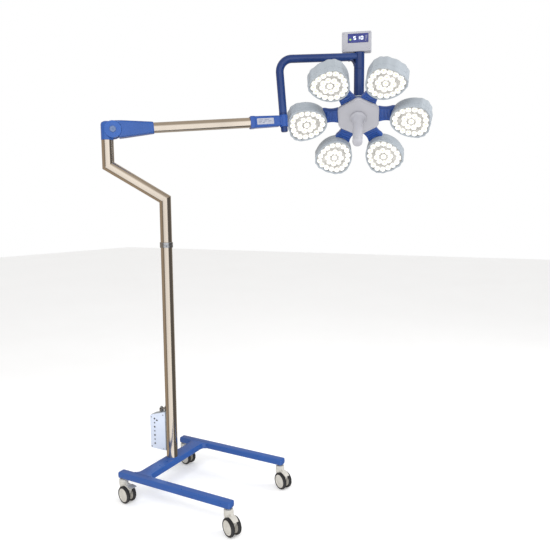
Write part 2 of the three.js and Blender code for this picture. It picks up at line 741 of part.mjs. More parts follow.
function buildHandle(handle) {
  const foot = hubFront + gap;
  const tip = foot + handleLength;
  piece(handle, 'lamp_handle', turned([
    [0, foot - 26], [14, foot - 26], [14, foot], [37, foot], [38, foot + 4], [31, foot + 13],
    [25, foot + 25], [22.5, foot + 40], [22.5, tip - 30], [21, tip - 24], [21, tip - 20],
    [22.5, tip - 15], [21, tip - 6], [14, tip - 1], [0, tip],
  ], 22), paleShell);
}

// ---------------------------------------------------------------- assembly
const light = new THREE.Group();
const base = group(light, 0, 0, 0);
buildBase(base);
buildPowerBox(base);
buildCastors(base);

const upperColumn = group(base, 0, 0, swivelHeight);
upperColumn.rotation.z = armPlane;
buildUpperColumn(upperColumn);

const armSwivel = group(upperColumn, -offsetReach, 0, pivotHeight - swivelHeight);
buildKnuckle(armSwivel);

const arm = group(armSwivel, pivotReach, 0, 0);
arm.rotation.y = -armTilt;
buildArm(arm);

const yoke = group(arm, yokeReach, 0, 0);
yoke.rotation.z = yokeTurn;
buildYoke(yoke);

// The lamp hangs plumb at rest, whatever the slope of the arm.
const plumb = group(yoke, yokeSpan, 0, yokeHeight);
light.updateMatrixWorld(true);
const yokeFacing = yoke.getWorldQuaternion(new THREE.Quaternion());
const topTube = new THREE.Vector3(1, 0, 0).applyQuaternion(yokeFacing);
const upright = new THREE.Quaternion().setFromAxisAngle(
  new THREE.Vector3(0, 0, 1), Math.atan2(topTube.y, topTube.x));
plumb.quaternion.copy(yokeFacing.clone().invert().multiply(upright));
piece(plumb, 'yoke_lamp_sleeve', shape(buildSleeve()), deepBlue);

const stem = group(plumb, 0, 0, 0);
stem.rotation.z = stemHeading - Math.atan2(topTube.y, topTube.x);
buildStem(stem);
buildControlBox(stem);

const head = group(stem, 0, 0, -stemDrop);
head.rotation.x = Math.PI / 2 + headTilt;
buildPetals(head);
buildSpider(head);
buildHub(head);
buildHandle(head);

// The footprint's middle is the origin, and the castors stand on z = 0.
light.updateMatrixWorld(true);
const bounds = new THREE.Box3().setFromObject(light, true);
light.position.set(
  -(bounds.min.x + bounds.max.x) / 2,
  -(bounds.min.y + bounds.max.y) / 2,
  -bounds.min.z);

export default light;
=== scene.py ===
"""Mobile surgical light: its looks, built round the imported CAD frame. Metres, +Z up."""

import json
import math

import bmesh
import bpy
from mathutils import Matrix, Vector


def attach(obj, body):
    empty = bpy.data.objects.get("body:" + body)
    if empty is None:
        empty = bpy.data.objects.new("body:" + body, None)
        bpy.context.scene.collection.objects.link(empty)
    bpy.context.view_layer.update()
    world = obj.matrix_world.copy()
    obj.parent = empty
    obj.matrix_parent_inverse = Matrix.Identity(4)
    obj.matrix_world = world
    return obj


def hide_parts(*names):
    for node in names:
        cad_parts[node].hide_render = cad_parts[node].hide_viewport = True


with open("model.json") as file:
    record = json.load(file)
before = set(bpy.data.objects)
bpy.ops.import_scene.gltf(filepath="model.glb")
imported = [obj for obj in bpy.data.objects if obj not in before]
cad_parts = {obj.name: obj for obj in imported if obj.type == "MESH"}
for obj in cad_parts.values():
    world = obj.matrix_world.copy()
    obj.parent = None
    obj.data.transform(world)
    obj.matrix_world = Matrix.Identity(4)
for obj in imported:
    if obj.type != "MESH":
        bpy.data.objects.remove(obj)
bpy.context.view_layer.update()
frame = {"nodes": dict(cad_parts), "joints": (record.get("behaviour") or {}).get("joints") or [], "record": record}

MM = 0.001
UP = Vector((0, 0, 1))
ORIGIN = Vector((0, 0, 0))
X_AXIS = Vector((1, 0, 0))
Y_AXIS = Vector((0, 1, 0))


# ---------------------------------------------------------------- places, from the frame's joints
joints = {joint["name"]: joint for joint in frame["joints"]}


def joint_point(name):
    return Vector(joints[name]["pos_m"])


def joint_axis(name):
    return Vector(joints[name]["axis"]).normalized()


def place(origin, x, z):
    """A place that counts millimetres, with its Z along z and its X leaning towards x."""
    z = z.normalized()
    y = z.cross(x).normalized()
    matrix = Matrix((y.cross(z), y, z)).transposed().to_4x4()
    matrix.translation = origin
    return matrix @ Matrix.Scale(MM, 4)


column_point = joint_point("column_swivel")
arm_point = joint_point("arm_tilt")
yoke_point = joint_point("yoke_swivel")
stem_point = joint_point("stem_swivel")
arm_heading = arm_point - joint_point("arm_swivel")
arm_reach = yoke_point - arm_point
arm_upright = arm_reach.cross(UP.cross(arm_reach))
yoke_reach = stem_point - yoke_point

base_place = place(Vector((column_point.x, column_point.y, 0)), X_AXIS, UP)
column_place = place(column_point, arm_heading, UP)
swivel_place = place(joint_point("arm_swivel"), arm_heading, UP)
arm_place = place(arm_point, arm_reach, arm_upright)
yoke_place = place(yoke_point, yoke_reach, joint_axis("yoke_swivel"))
sleeve_place = place(stem_point, yoke_reach, UP)
stem_place = place(stem_point, joint_axis("head_tilt"), UP)
head_place = place(joint_point("head_tilt"), joint_axis("head_tilt"), joint_axis("handle_turn"))


# ---------------------------------------------------------------- sizes, in millimetres
COLUMN_RADIUS = 25.4
COLUMN_BORE = 23.4
SWIVEL_HEIGHT = column_point.z / MM
LEG_TOP = 134.0
LEG_HEIGHT = 28.0
LEG_WIDTH = 38.0
TRACK = 434.0
ARM_RADIUS = 22.5
YOKE_RADIUS = 18.0
STEM_RADIUS = 24.0
WHEEL_RADIUS = 37.5
WHEEL_WIDTH = 17.0
WHEEL_GAP = 14.0
PETALS = 6
PETAL_RING = 240.0
PETAL_REACH = 91.0
PETAL_HALF_WIDTH = 89.0
PETAL_LIFT = 85.0
PETAL_DEPTH = 76.0
PETAL_LEAN = math.radians(11)
SPIDER_BACK = 40.0
SPIDER_FRONT = 66.0
HUB_FRONT = 78.0
HUB_ACROSS = 188.0
HANDLE_LENGTH = 180.0
KNEE_DEPTH = 44.0
SLEEVE_TOP = 18.0


# ---------------------------------------------------------------- materials
def add_node(tree, kind, **settings):
    node = tree.nodes.new(kind)
    for name, value in settings.items():
        if hasattr(node, name):
            setattr(node, name, value)
        else:
            node.inputs[name.replace("_", " ")].default_value = value
    return node


def noise(tree, coordinates, scale, detail=3.0, stretch=(1, 1, 1)):
    """Noise in the piece's own space, drawn out along the axes whose stretch is small."""
    mapping = add_node(tree, "ShaderNodeMapping")
    mapping.inputs["Scale"].default_value = stretch
    texture = add_node(tree, "ShaderNodeTexNoise", Scale=scale, Detail=detail)
    tree.links.new(coordinates, mapping.inputs["Vector"])
    tree.links.new(mapping.outputs["Vector"], texture.inputs["Vector"])
    return texture.outputs["Fac"]


def map_range(tree, value, source, target, **settings):
    node = add_node(tree, "ShaderNodeMapRange", **settings)
    for name, level in zip(("From Min", "From Max", "To Min", "To Max"), (*source, *target)):
        node.inputs[name].default_value = level
    tree.links.new(value, node.inputs["Value"])
    return node.outputs["Result"]


def spread(tree, value, low, high):
    """Maps a noise value, which stays mostly between 0.3 and 0.7, to the range from low to high."""
    return map_range(tree, value, (0.3, 0.7), (low, high))


def mixed(tree, factor, first, second):
    """Mixes two colours. Each is either a plain colour or another node's output."""
    node = add_node(tree, "ShaderNodeMix", data_type="RGBA")
    tree.links.new(factor, node.inputs["Factor"])
    for name, color in (("A", first), ("B", second)):
        if isinstance(color, bpy.types.NodeSocket):
            tree.links.new(color, node.inputs[name])
        else:
            node.inputs[name].default_value = (*color, 1)
    return node.outputs["Result"]


GRAIN_DEPTH = 0.0002


def material(name, color, roughness, metallic=0.0, mottle=0.06, patch=14.0, grain=900.0,
             bump=0.05, coat=0.0, stretch=(1, 1, 1), glow=0.0, edge_highlight=0.0, edge_highlight_color=None):
    """A surface with patches of lighter and darker colour, uneven gloss, fine grain and a painted highlight on its
    convex edges.
    """
    look = bpy.data.materials.new(name)
    look.use_nodes = True
    tree = look.node_tree
    shader = tree.nodes["Principled BSDF"]
    shader.inputs["Metallic"].default_value = metallic
    shader.inputs["Coat Weight"].default_value = coat
    shader.inputs["Coat Roughness"].default_value = 0.08
    position = add_node(tree, "ShaderNodeTexCoord").outputs["Object"]

    dark = [max(0.0, c * (1 - mottle)) for c in color]
    light = [min(1.0, c * (1 + mottle)) for c in color]
    patches = spread(tree, noise(tree, position, patch, stretch=stretch), 0.0, 1.0)
    surface = mixed(tree, patches, dark, light)
    # Convex edges are mixed towards a lighter tint of the same colour: a painted highlight along the edges.
    if edge_highlight > 0:
        edges = add_node(tree, "ShaderNodeNewGeometry").outputs["Pointiness"]
        surface = mixed(tree, map_range(tree, edges, (0.54, 0.62), (0, edge_highlight)), surface, edge_highlight_color)
    tree.links.new(surface, shader.inputs["Base Color"])
    if glow > 0:
        tree.links.new(surface, shader.inputs["Emission Color"])
        shader.inputs["Emission Strength"].default_value = glow

    gloss = noise(tree, position, patch * 5, stretch=stretch)
    tree.links.new(spread(tree, gloss, roughness * 0.8, roughness * 1.2), shader.inputs["Roughness"])
    relief = add_node(tree, "ShaderNodeBump", Strength=bump, Distance=GRAIN_DEPTH)
    tree.links.new(noise(tree, position, grain, 2.0, stretch), relief.inputs["Height"])
    tree.links.new(relief.outputs["Normal"], shader.inputs["Normal"])
    return look


# The edge setting and its colour paint a lighter highlight along convex edges.
PAINT = dict(roughness=0.34, coat=0.25, mottle=0.05, grain=900.0, bump=0.06, edge_highlight=0.5)
PLASTIC = dict(roughness=0.38, mottle=0.035, grain=1500.0, bump=0.08, edge_highlight=0.3)
looks = {
    "blue_paint": material("blue_paint", (0.02, 0.094, 0.36), edge_highlight_color=(0.12, 0.25, 0.6), **PAINT),
    "blue_cover": material("blue_cover", (0.018, 0.08, 0.31), edge_highlight_color=(0.12, 0.25, 0.6), **PAINT),
    "blue_casting": material("blue_casting", (0.015, 0.075, 0.33), edge_highlight_color=(0.1, 0.22, 0.55), **PAINT),
    "deep_blue": material("deep_blue", (0.004, 0.028, 0.14), edge_highlight_color=(0.05, 0.13, 0.4), **PAINT),
    "stainless": material("stainless", (0.62, 0.55, 0.47), 0.14, metallic=1.0, mottle=0.08, patch=6.0,
                          grain=700.0, bump=0.03, stretch=(1, 1, 0.15)),
    "steel": material("steel", (0.4, 0.41, 0.43), 0.3, metallic=1.0, mottle=0.08, grain=800.0),
    "grey_shell": material("grey_shell", (0.39, 0.43, 0.47), edge_highlight_color=(0.6, 0.64, 0.66), **PLASTIC),
    "pale_shell": material("pale_shell", (0.46, 0.46, 0.5), edge_highlight_color=(0.66, 0.67, 0.7), **PLASTIC),
    "castor_shell": material("castor_shell", (0.62, 0.6, 0.55), edge_highlight_color=(0.75, 0.73, 0.68), **PLASTIC),
    "castor_pedal": material("castor_pedal", (0.34, 0.35, 0.37), edge_highlight_color=(0.5, 0.5, 0.52), **PLASTIC),
    "white_panel": material("white_panel", (0.72, 0.79, 0.93), edge_highlight_color=(0.8, 0.85, 0.95), **PLASTIC),
    "black_plastic": material("black_plastic", (0.02, 0.02, 0.024), 0.4, mottle=0.2, edge_highlight=0.4,
                              edge_highlight_color=(0.08, 0.08, 0.09)),
    "tyre": material("tyre", (0.022, 0.022, 0.024), 0.6, mottle=0.25, patch=60.0, grain=2500.0, bump=0.3),
    "lens": material("lens", (0.88, 0.87, 0.84), 0.15, mottle=0.04, patch=40.0, glow=0.3),
    "display": material("display", (0.012, 0.022, 0.2), 0.12, mottle=0.25, patch=30.0, coat=0.6),
}
optic_bed = material("optic_bed", (0.52, 0.51, 0.48), 0.35, mottle=0.22, patch=45.0)
pin_paint = material("pin_paint", (0.13, 0.19, 0.34), 0.36, mottle=0.06, patch=60.0)
led_chip = material("led_chip", (0.85, 0.72, 0.38), 0.3, mottle=0.1, patch=200.0, glow=0.35)
label_film = material("label_film", (0.42, 0.44, 0.52), 0.3, mottle=0.05, patch=60.0)
label_print = material("label_print", (0.16, 0.18, 0.26), 0.4, mottle=0.15, patch=90.0)
digit_glow = material("digit_glow", (0.86, 0.92, 1.0), 0.3, mottle=0.03, glow=0.9)
green_glow = material("green_glow", (0.35, 0.6, 0.12), 0.3, mottle=0.08, glow=0.35)

for part in frame["record"]["subparts"]:
    node = frame["nodes"][part["node"]]
    node.data.materials.clear()
    node.data.materials.append(looks.get(part["material_slot"], looks["steel"]))


# ---------------------------------------------------------------- mesh tools
def skin(rings, loop=False):
    """A closed mesh through rings of equally many points. A loop joins the last ring to the first."""
    mesh = bmesh.new()
    rows = [[mesh.verts.new(point) for point in ring] for ring in rings]
    count = len(rows[0])
    pairs = list(zip(rows, rows[1:]))
    if loop:
        pairs.append((rows[-1], rows[0]))
    for low, high in pairs:
        for i in range(count):
            j = (i + 1) % count
            mesh.faces.new((low[i], low[j], high[j], high[i]))
    if not loop:
        mesh.faces.new(rows[0])
        mesh.faces.new(rows[-1])
    bmesh.ops.recalc_face_normals(mesh, faces=mesh.faces)
    return mesh


def round_corners(points, radius, steps=4, loop=False):
    """Swaps each corner of an open or closed line of 2-D points for a curve of about that radius."""
    points = [Vector(point) for point in points]
    rounded = []
    for i, corner in enumerate(points):
        if not loop and i in (0, len(points) - 1):
            rounded.append(corner)
            continue
        before = points[i - 1] - corner
        after = points[(i + 1) % len(points)] - corner
        reach = min(radius, before.length * 0.45, after.length * 0.45)
        start = corner + before.normalized() * reach
        end = corner + after.normalized() * reach
        for step in range(steps + 1):
            t = step / steps
            rounded.append((1 - t) ** 2 * start + 2 * t * (1 - t) * corner + t ** 2 * end)
    return rounded


def lathe(outline, radius=0.0, segments=64):
    """Turns (radius, height) points about Z. An outline that starts off the axis is a closed loop."""
    ring = outline[0][0] > 0
    points = round_corners(outline, radius, loop=ring) if radius else [Vector(p) for p in outline]
    mesh = bmesh.new()
    rows = []
    for r, z in points:
        if r < 1e-6:
            rows.append([mesh.verts.new((0, 0, z))] * segments)
            continue
        turns = [2 * math.pi * i / segments for i in range(segments)]
        rows.append([mesh.verts.new((r * math.cos(turn), r * math.sin(turn), z)) for turn in turns])
    pairs = list(zip(rows, rows[1:]))
    if ring:
        pairs.append((rows[-1], rows[0]))
    for low, high in pairs:
        for i in range(segments):
            j = (i + 1) % segments
            corners = []
            for vertex in (low[i], low[j], high[j], high[i]):
                if vertex not in corners:
                    corners.append(vertex)
            mesh.faces.new(corners)
    bmesh.ops.recalc_face_normals(mesh, faces=mesh.faces)
    return mesh


def rod(radius, low, high, rounding=0.0, segments=64):
    return lathe([(0, low), (radius, low), (radius, high), (0, high)], rounding, segments)


def both_ends(half):
    """The whole outline of a turned piece with two like ends, from the outline of its upper end."""
    return [(radius, -height) for radius, height in half] + half[::-1]


def pipe(bore, radius, low, high, rounding=0.0, segments=64):
    return lathe([(bore, low), (radius, low), (radius, high), (bore, high)], rounding, segments)


def inset_outline(points, distance):
    """Moves each point of an outline inwards, whichever way round the outline runs."""
    area = sum(Vector(points[i - 1]).cross(Vector(point)) for i, point in enumerate(points))
    distance *= math.copysign(1, area)
    moved = []
    for i, point in enumerate(points):
        point = Vector(point)
        ahead = Vector(points[(i + 1) % len(points)]) - point
        behind = point - Vector(points[i - 1])
        normal = Vector((-ahead.y, ahead.x)).normalized() + Vector((-behind.y, behind.x)).normalized()
        moved.append(point + normal.normalized() * distance / max(0.5, normal.length / 2))
    return moved


def plate(outline, bottom, top, rim=1.5, steps=3):
    """A plate with the outline of 2-D points, its top and bottom rims rounded."""
    levels = []
    for i in range(steps + 1):
        turn = i / steps * math.pi / 2
        levels.append((rim * (1 - math.sin(turn)), rim * (1 - math.cos(turn))))
    rings = []
    for inset, rise in levels:
        rings.append([(x, y, bottom + rise) for x, y in inset_outline(outline, inset)])
    for inset, rise in reversed(levels):
        rings.append([(x, y, top - rise) for x, y in inset_outline(outline, inset)])
    return skin(rings)


def rounded_rectangle(half_width, half_height, radius, steps=6):
    corners = [(half_width, half_height), (-half_width, half_height),
               (-half_width, -half_height), (half_width, -half_height)]
    return round_corners(corners, radius, steps, loop=True)


def bar(stations, steps=6):
    """A bar along X: each station is (x, half width, half height, corner radius)."""
    rings = []
    for x, half_width, half_height, corner in stations:
        section = rounded_rectangle(half_width, half_height, corner, steps)
        rings.append([(x, y, z) for y, z in section])
    return skin(rings)


def block(x0, x1, y0, y1, z0, z1, rim=1.0):
    """A box with rounded edges."""
    mesh = bmesh.new()
    bmesh.ops.create_cube(mesh, size=1.0)
    bmesh.ops.scale(mesh, verts=mesh.verts, vec=(x1 - x0, y1 - y0, z1 - z0))
    bmesh.ops.translate(mesh, verts=mesh.verts, vec=((x0 + x1) / 2, (y0 + y1) / 2, (z0 + z1) / 2))
    if rim:
        bmesh.ops.bevel(mesh, geom=mesh.edges, offset=rim, segments=3, profile=0.5, affect="EDGES")
    return mesh


def tube(start, end, radius, bore, start_cut=None, end_cut=None, segments=80):
    """A tube between two points, each end cut square or along the plane with the given normal."""
    along = (end - start).normalized()
    side = along.orthogonal().normalized()
    other = along.cross(side)
    rings = []
    for point, normal, size in ((start, start_cut, bore), (start, start_cut, radius),
                                (end, end_cut, radius), (end, end_cut, bore)):
        normal = normal or along
        ring = []
        for i in range(segments):
            turn = 2 * math.pi * i / segments
            outward = size * (math.cos(turn) * side + math.sin(turn) * other)
            ring.append(point + outward - along * outward.dot(normal) / along.dot(normal))
        rings.append(ring)
    return skin(rings, loop=True)


def turned_to(mesh, axis):
    """Turns a mesh made about Z so that it stands about another axis."""
    mesh.transform(Vector(UP).rotation_difference(Vector(axis)).to_matrix().to_4x4())
    return mesh


def shifted(mesh, x=0.0, y=0.0, z=0.0):
    mesh.transform(Matrix.Translation((x, y, z)))
    return mesh


def spun(mesh, angle):
    mesh.transform(Matrix.Rotation(angle, 4, "Z"))
    return mesh


def together(*meshes):
    """Several closed meshes as one piece."""
    whole = bmesh.new()
    for mesh in meshes:
        data = bpy.data.meshes.new("part")
        mesh.to_mesh(data)
        mesh.free()
        whole.from_mesh(data)
        bpy.data.meshes.remove(data)
    return whole


def turned_copies(outline, rounding, segments, spots):
    """The same turned shape at several (x, y, z) spots, each facing -Y, as one piece."""
    copies = [turned_to(lathe(outline, rounding, segments), -Y_AXIS) for spot in spots]
    return together(*[shifted(copy, *spot) for copy, spot in zip(copies, spots)])


def boolean(mesh, other, operation="DIFFERENCE"):
    """One mesh with another cut away, added or kept in common."""
    objects = []
    for source in (mesh, other):
        data = bpy.data.meshes.new("solid")
        source.to_mesh(data)
        source.free()
        thing = bpy.data.objects.new("solid", data)
        bpy.context.scene.collection.objects.link(thing)
        objects.append(thing)
    first, second = objects
    modifier = first.modifiers.new("boolean", "BOOLEAN")
    modifier.object = second
    modifier.operation = operation
    modifier.solver = "EXACT"
    bpy.context.view_layer.update()
    result = bmesh.new()
    result.from_object(first, bpy.context.evaluated_depsgraph_get())
    for thing in objects:
        data = thing.data
        bpy.data.objects.remove(thing)
        bpy.data.meshes.remove(data)
    return result


def make(name, mesh, look, body, where, stands_for=(), sharp=32, edge=0.0):
    """Puts a mesh in its place as a piece that rides on a CAD body and may stand for CAD nodes."""
    mesh.transform(where)
    bmesh.ops.recalc_face_normals(mesh, faces=mesh.faces)
    data = bpy.data.meshes.new(name)
    mesh.to_mesh(data)
    mesh.free()
    data.shade_smooth()
    data.set_sharp_from_angle(angle=math.radians(sharp))
    made = bpy.data.objects.new(name, data)
    bpy.context.scene.collection.objects.link(made)
    if edge:
        rounding = made.modifiers.new("edge", "BEVEL")
        rounding.width = edge * MM
        rounding.segments = 2
        rounding.limit_method = "ANGLE"
        rounding.angle_limit = math.radians(sharp)
    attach(made, body)
    if stands_for:
        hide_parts(*stands_for)
    if isinstance(look, str):
        look = looks[look]
    data.materials.append(look)
    return made


# ---------------------------------------------------------------- base
def build_base():
    """Two box-section legs joined by a flared crossbar, with the column welded into it."""
    leg_bottom = LEG_TOP - LEG_HEIGHT
    rear, front = -115.0, 470.0
    rounding = 6.0
    stations = []
    for i in range(5):
        turn = i / 4 * math.pi / 2
        grow = rounding * (1 - math.sin(turn))
        along = rear + rounding * (1 - math.cos(turn))
        stations.append((along, LEG_WIDTH / 2 - grow, LEG_HEIGHT / 2 - grow, 8))
    mirrored = [(rear + front - x, *rest) for x, *rest in reversed(stations)]
    for name, side in (("right", -1), ("left", 1)):
        leg = shifted(bar(stations + mirrored), y=side * TRACK / 2, z=LEG_TOP - LEG_HEIGHT / 2)
        make(f"leg_{name}", leg, "blue_paint", "base", base_place, [f"base_leg_{name}"])

    end = TRACK / 2 - LEG_WIDTH / 2 + 0.6
    half = 32.0
    flare = 22.0
    outline = []
    for sx, sy in ((1, 1), (-1, 1), (-1, -1), (1, -1)):
        corner = []
        for i in range(13):
            turn = i / 12 * math.radians(80)
            across = half + flare * (1 - math.cos(turn))
            along = end - flare * (1 - math.sin(turn))
            corner.append((sx * across, sy * along))
        corner.append((corner[-1][0] + sx, sy * (end + 12)))
        outline.extend(corner if sx * sy > 0 else reversed(corner))
    crossbar = plate(outline, leg_bottom, LEG_TOP, rim=3.0)
    make("crossbar", crossbar, "blue_paint", "base", base_place, ["base_crossbar"])

    weld = lathe([(COLUMN_RADIUS - 1, LEG_TOP - 2), (COLUMN_RADIUS + 4, LEG_TOP - 2),
                  (COLUMN_RADIUS + 3, LEG_TOP + 1.5), (COLUMN_RADIUS + 0.2, LEG_TOP + 4),
                  (COLUMN_RADIUS - 1, LEG_TOP + 4)], 1.5)
    make("column_weld", weld, "blue_paint", "base", base_place)
    foot = Vector((0, 0, leg_bottom + 7))
    top = Vector((0, 0, SWIVEL_HEIGHT - 4))
    lower = tube(foot, top, COLUMN_RADIUS, COLUMN_BORE)
    make("lower_column", lower, "stainless", "base", base_place, ["column_lower_tube"])

    inner = COLUMN_RADIUS + 0.2
    ring = [(inner, -18), (COLUMN_RADIUS + 2.6, -18), (COLUMN_RADIUS + 3.4, -16), (COLUMN_RADIUS + 3.4, -7),
            (COLUMN_RADIUS + 2.7, -6.4), (COLUMN_RADIUS + 2.7, -5.4), (COLUMN_RADIUS + 3.4, -4.8),
            (COLUMN_RADIUS + 3.4, 4), (COLUMN_RADIUS + 2.6, 6), (inner, 6)]
    collar = shifted(lathe(ring, 0.5, 80), z=SWIVEL_HEIGHT)
    make("swivel_collar", collar, "steel", "base", base_place, ["column_swivel_ring"])
    screw = lathe([(0, -1), (3.2, -1), (3.2, 1.2), (1.6, 1.2), (1.6, 0.2), (0, 0.2)], 0.3, 20)
    screw = shifted(turned_to(screw, X_AXIS), x=COLUMN_RADIUS + 3, z=SWIVEL_HEIGHT - 11)
    make("swivel_collar_screw", spun(screw, math.radians(-50)), "black_plastic", "base", base_place)


# ---------------------------------------------------------------- power box
def build_power_box():
    """A slant-topped box held behind the column by a bracket, with a pale panel on its right side."""
    rear, front = -109.0, -19.0
    bottom = LEG_TOP + 32
    top_rear, top_front = bottom + 160, bottom + 187
    half_depth = 22.0
    outline = [(rear, bottom), (front, bottom), (front, top_front), (rear, top_rear)]
    upright = Matrix.Rotation(math.pi / 2, 4, "X")

    def standing(points, low, high, rim):
        """A plate whose outline stands in the XZ plane and whose height runs towards -Y."""
        mesh = plate(round_corners(points, 5.0, loop=True), low, high, rim)
        mesh.transform(upright)
        return mesh

    def beside_column(mesh):
        """Hollows a mesh so that it fits round the column."""
        return boolean(mesh, rod(COLUMN_RADIUS + 0.6, bottom - 9, top_front + 9))

    case = beside_column(standing(outline, -half_depth, half_depth - 3, 3.0))
    make("power_case", case, "grey_shell", "base", base_place, ["power_box_case"])
    lid = beside_column(standing(inset_outline(outline, 1.0), half_depth - 2.7, half_depth, 0.8))
    make("power_panel", lid, "white_panel", "base", base_place, ["power_box_panel"])

    marks = []
    pitch = 19.8
    for i in range(7):
        size = 3.4 if i % 2 else 4.4
        dot = lathe([(0, 0), (size, 0), (size, 0.6), (0, 0.9)], 0.3, 20)
        marks.append(shifted(turned_to(dot, -Y_AXIS), rear + 27, -half_depth, bottom + 26 + i * pitch))
    marks.append(block(rear + 36, rear + 46, -half_depth - 0.6, -half_depth + 0.2,
                       bottom + 136, bottom + 142, 0.3))
    make("power_indicators", together(*marks), "black_plastic", "base", base_place)
    spots = [(rear + 8, -half_depth, bottom + 8), (front - 12, -half_depth, bottom + 8),
             (rear + 8, -half_depth, top_rear - 10), (front - 12, -half_depth, top_rear + 10)]
    screws = turned_copies([(0, 0), (3, 0), (3, 0.8), (1.2, 1.3), (0, 1.3)], 0.3, 18, spots)
    make("power_panel_screws", screws, "steel", "base", base_place)

    tab = pipe(COLUMN_RADIUS + 0.3, COLUMN_RADIUS + 4, top_front + 5, top_front + 23, 0.8)
    tab = boolean(tab, block(-14, 40, -40, 40, top_front, top_front + 30, 0))
    shelf = block(-62, -27, -9, 9, top_front + 5, top_front + 9)
    lug = block(-62, -50, -9, 9, top_front - 8.5, top_front + 9)
    knob = shifted(lathe([(0, 0), (5.5, 0), (5.5, 6), (3.5, 8), (0, 8)], 0.8, 24), x=-56, z=top_front + 8)
    bracket = together(tab, shelf, lug, knob)
    make("power_bracket", bracket, "steel", "base", base_place, ["power_box_bracket"])

    flange = block(rear - 2, rear - 0.3, -17, 17, bottom + 15, bottom + 45, 0.6)
    body = block(rear - 1, rear + 22, -14.5, 14.5, bottom + 18.5, bottom + 41.5, 0.6)
    mouth = block(rear - 3, rear + 16, -11, 11, bottom + 22, bottom + 38, 0)
    socket = boolean(boolean(flange, body, "UNION"), mouth)
    pins = []
    for y, z in ((0, bottom + 32), (-7, bottom + 28), (7, bottom + 28)):
        pins.append(block(rear + 2, rear + 15.8, y - 1, y + 1, z - 2.6, z + 2.6, 0.4))
    make("mains_inlet", socket, "black_plastic", "base", base_place, ["power_inlet"], edge=0.3)
    make("mains_pins", together(*pins), "steel", "base", base_place)

    hinge = place(joint_point("power_switch_rock"), X_AXIS, UP)
    rocker = [(-5, -2.2), (6, -10), (8, -10), (8, 10), (6, 10), (-2, 1.5)]
    key = plate(round_corners(rocker, 1.2, loop=True), -7.3, 7.3, 0.6)
    key.transform(upright)
    make("power_rocker", key, "black_plastic", "power_switch", hinge, ["power_switch"])


# ---------------------------------------------------------------- castors
def build_castor(name, braked):
    """A twin-wheel swivel castor: neck cup, web between the wheels, mudguard, tyres and dished hubs."""
    swivel = joint_point(f"{name}_swivel")
    axle = joint_point(f"{name}_roll")
    trailing = Vector((axle.x - swivel.x, axle.y - swivel.y, 0))
    where = place(swivel, trailing, UP)
    trail = trailing.length / MM
    axle_height = (axle.z - swivel.z) / MM
    outer = WHEEL_GAP / 2 + WHEEL_WIDTH
    half_gap = WHEEL_GAP / 2

    neck = lathe([(0, -42), (16, -42), (19.5, -31), (20, -11), (18.5, -6), (15, -4.5), (0, -4.5)], 2.5, 48)
    across = Matrix.Rotation(math.pi / 2, 4, "X")
    side = [(-14, -8), (-15, -38)]
    for i in range(9):
        turn = math.radians(210 + i * 150 / 8)
        side.append((trail + 14 * math.cos(turn), axle_height + 14 * math.sin(turn)))
    side += [(trail + 28, -44), (15, -10)]
    web = plate(round_corners(side, 3.0, loop=True), 1.5 - half_gap, half_gap - 1.5, 1.5)
    web.transform(across)
    guard_rings = []
    for i in range(25):
        turn = math.radians(44 + i * 112 / 24)
        out = Vector((math.cos(turn), 0, math.sin(turn)))
        middle = Vector((trail, 0, axle_height)) + out * (WHEEL_RADIUS + 4)
        taper = 1 - 0.16 * abs(i / 12 - 1) ** 3
        section = rounded_rectangle(13.5 * taper, 2.1, 2.0, 4)
        guard_rings.append([middle + Y_AXIS * y + out * r for y, r in section])
    shell = together(neck, web, skin(guard_rings))
    make(f"{name}_shell", shell, "castor_shell", name, where, [f"{name}_hood"])
    collar = lathe([(5, -5), (13, -5), (14, -3.5), (14, -1.4), (5, -1.4)], 0.8, 40)
    make(f"{name}_collar", collar, "steel", name, where)

    axle_place = place(axle, trailing, UP)
    rim = 0.79 * WHEEL_RADIUS
    tyre = [(rim - 0.5, outer - 1.2), (rim + 1.5, outer), (WHEEL_RADIUS - 3, outer - 0.6),
            (WHEEL_RADIUS, outer - 4.5), (WHEEL_RADIUS, half_gap + 4.5), (WHEEL_RADIUS - 3, half_gap + 0.6),
            (rim - 0.5, half_gap + 1.2)]
    hub = [(0, outer - 3.2), (5, outer - 3.2), (6, outer - 2.2), (9, outer - 2.2), (10, outer - 4),
           (rim - 8, outer - 5.2), (rim - 5, outer - 4.8), (rim - 4, outer - 1.6), (rim, outer - 1.3),
           (rim, half_gap + 2), (20, half_gap + 3), (8, half_gap + 1.2), (0, half_gap + 1.2)]
    tyres = []
    hubs = []
    for direction in (-Y_AXIS, Y_AXIS):
        tyres.append(turned_to(lathe(tyre, 2.6, 72), direction))
        hubs.append(turned_to(lathe(hub, 1.0, 72), direction))
    make(f"{name}_tyres", together(*tyres), "tyre", f"{name}_wheelset", axle_place, [f"{name}_wheels"])
    make(f"{name}_hubs", together(*hubs), "castor_shell", f"{name}_wheelset", axle_place)
    axle_rod = turned_to(rod(6, -half_gap - 2, half_gap + 2, 0.4, 24), Y_AXIS)
    make(f"{name}_axle", axle_rod, "steel", f"{name}_wheelset", axle_place)

    if braked:
        hinge = place(joint_point(f"{name}_brake_press"), trailing, UP)
        tread = [block(-4, 26, -13, 13, 0, 4, 1.2), block(-4, 4, -13, 13, -4, 3, 1.0)]
        tread += [block(x, x + 2, -10, 10, 3.6, 4.6, 0.4) for x in (8, 13, 18)]
        pedal = together(*tread)
        make(f"{name}_pedal_cap", pedal, "castor_pedal", f"{name}_pedal", hinge, [f"{name}_brake"])


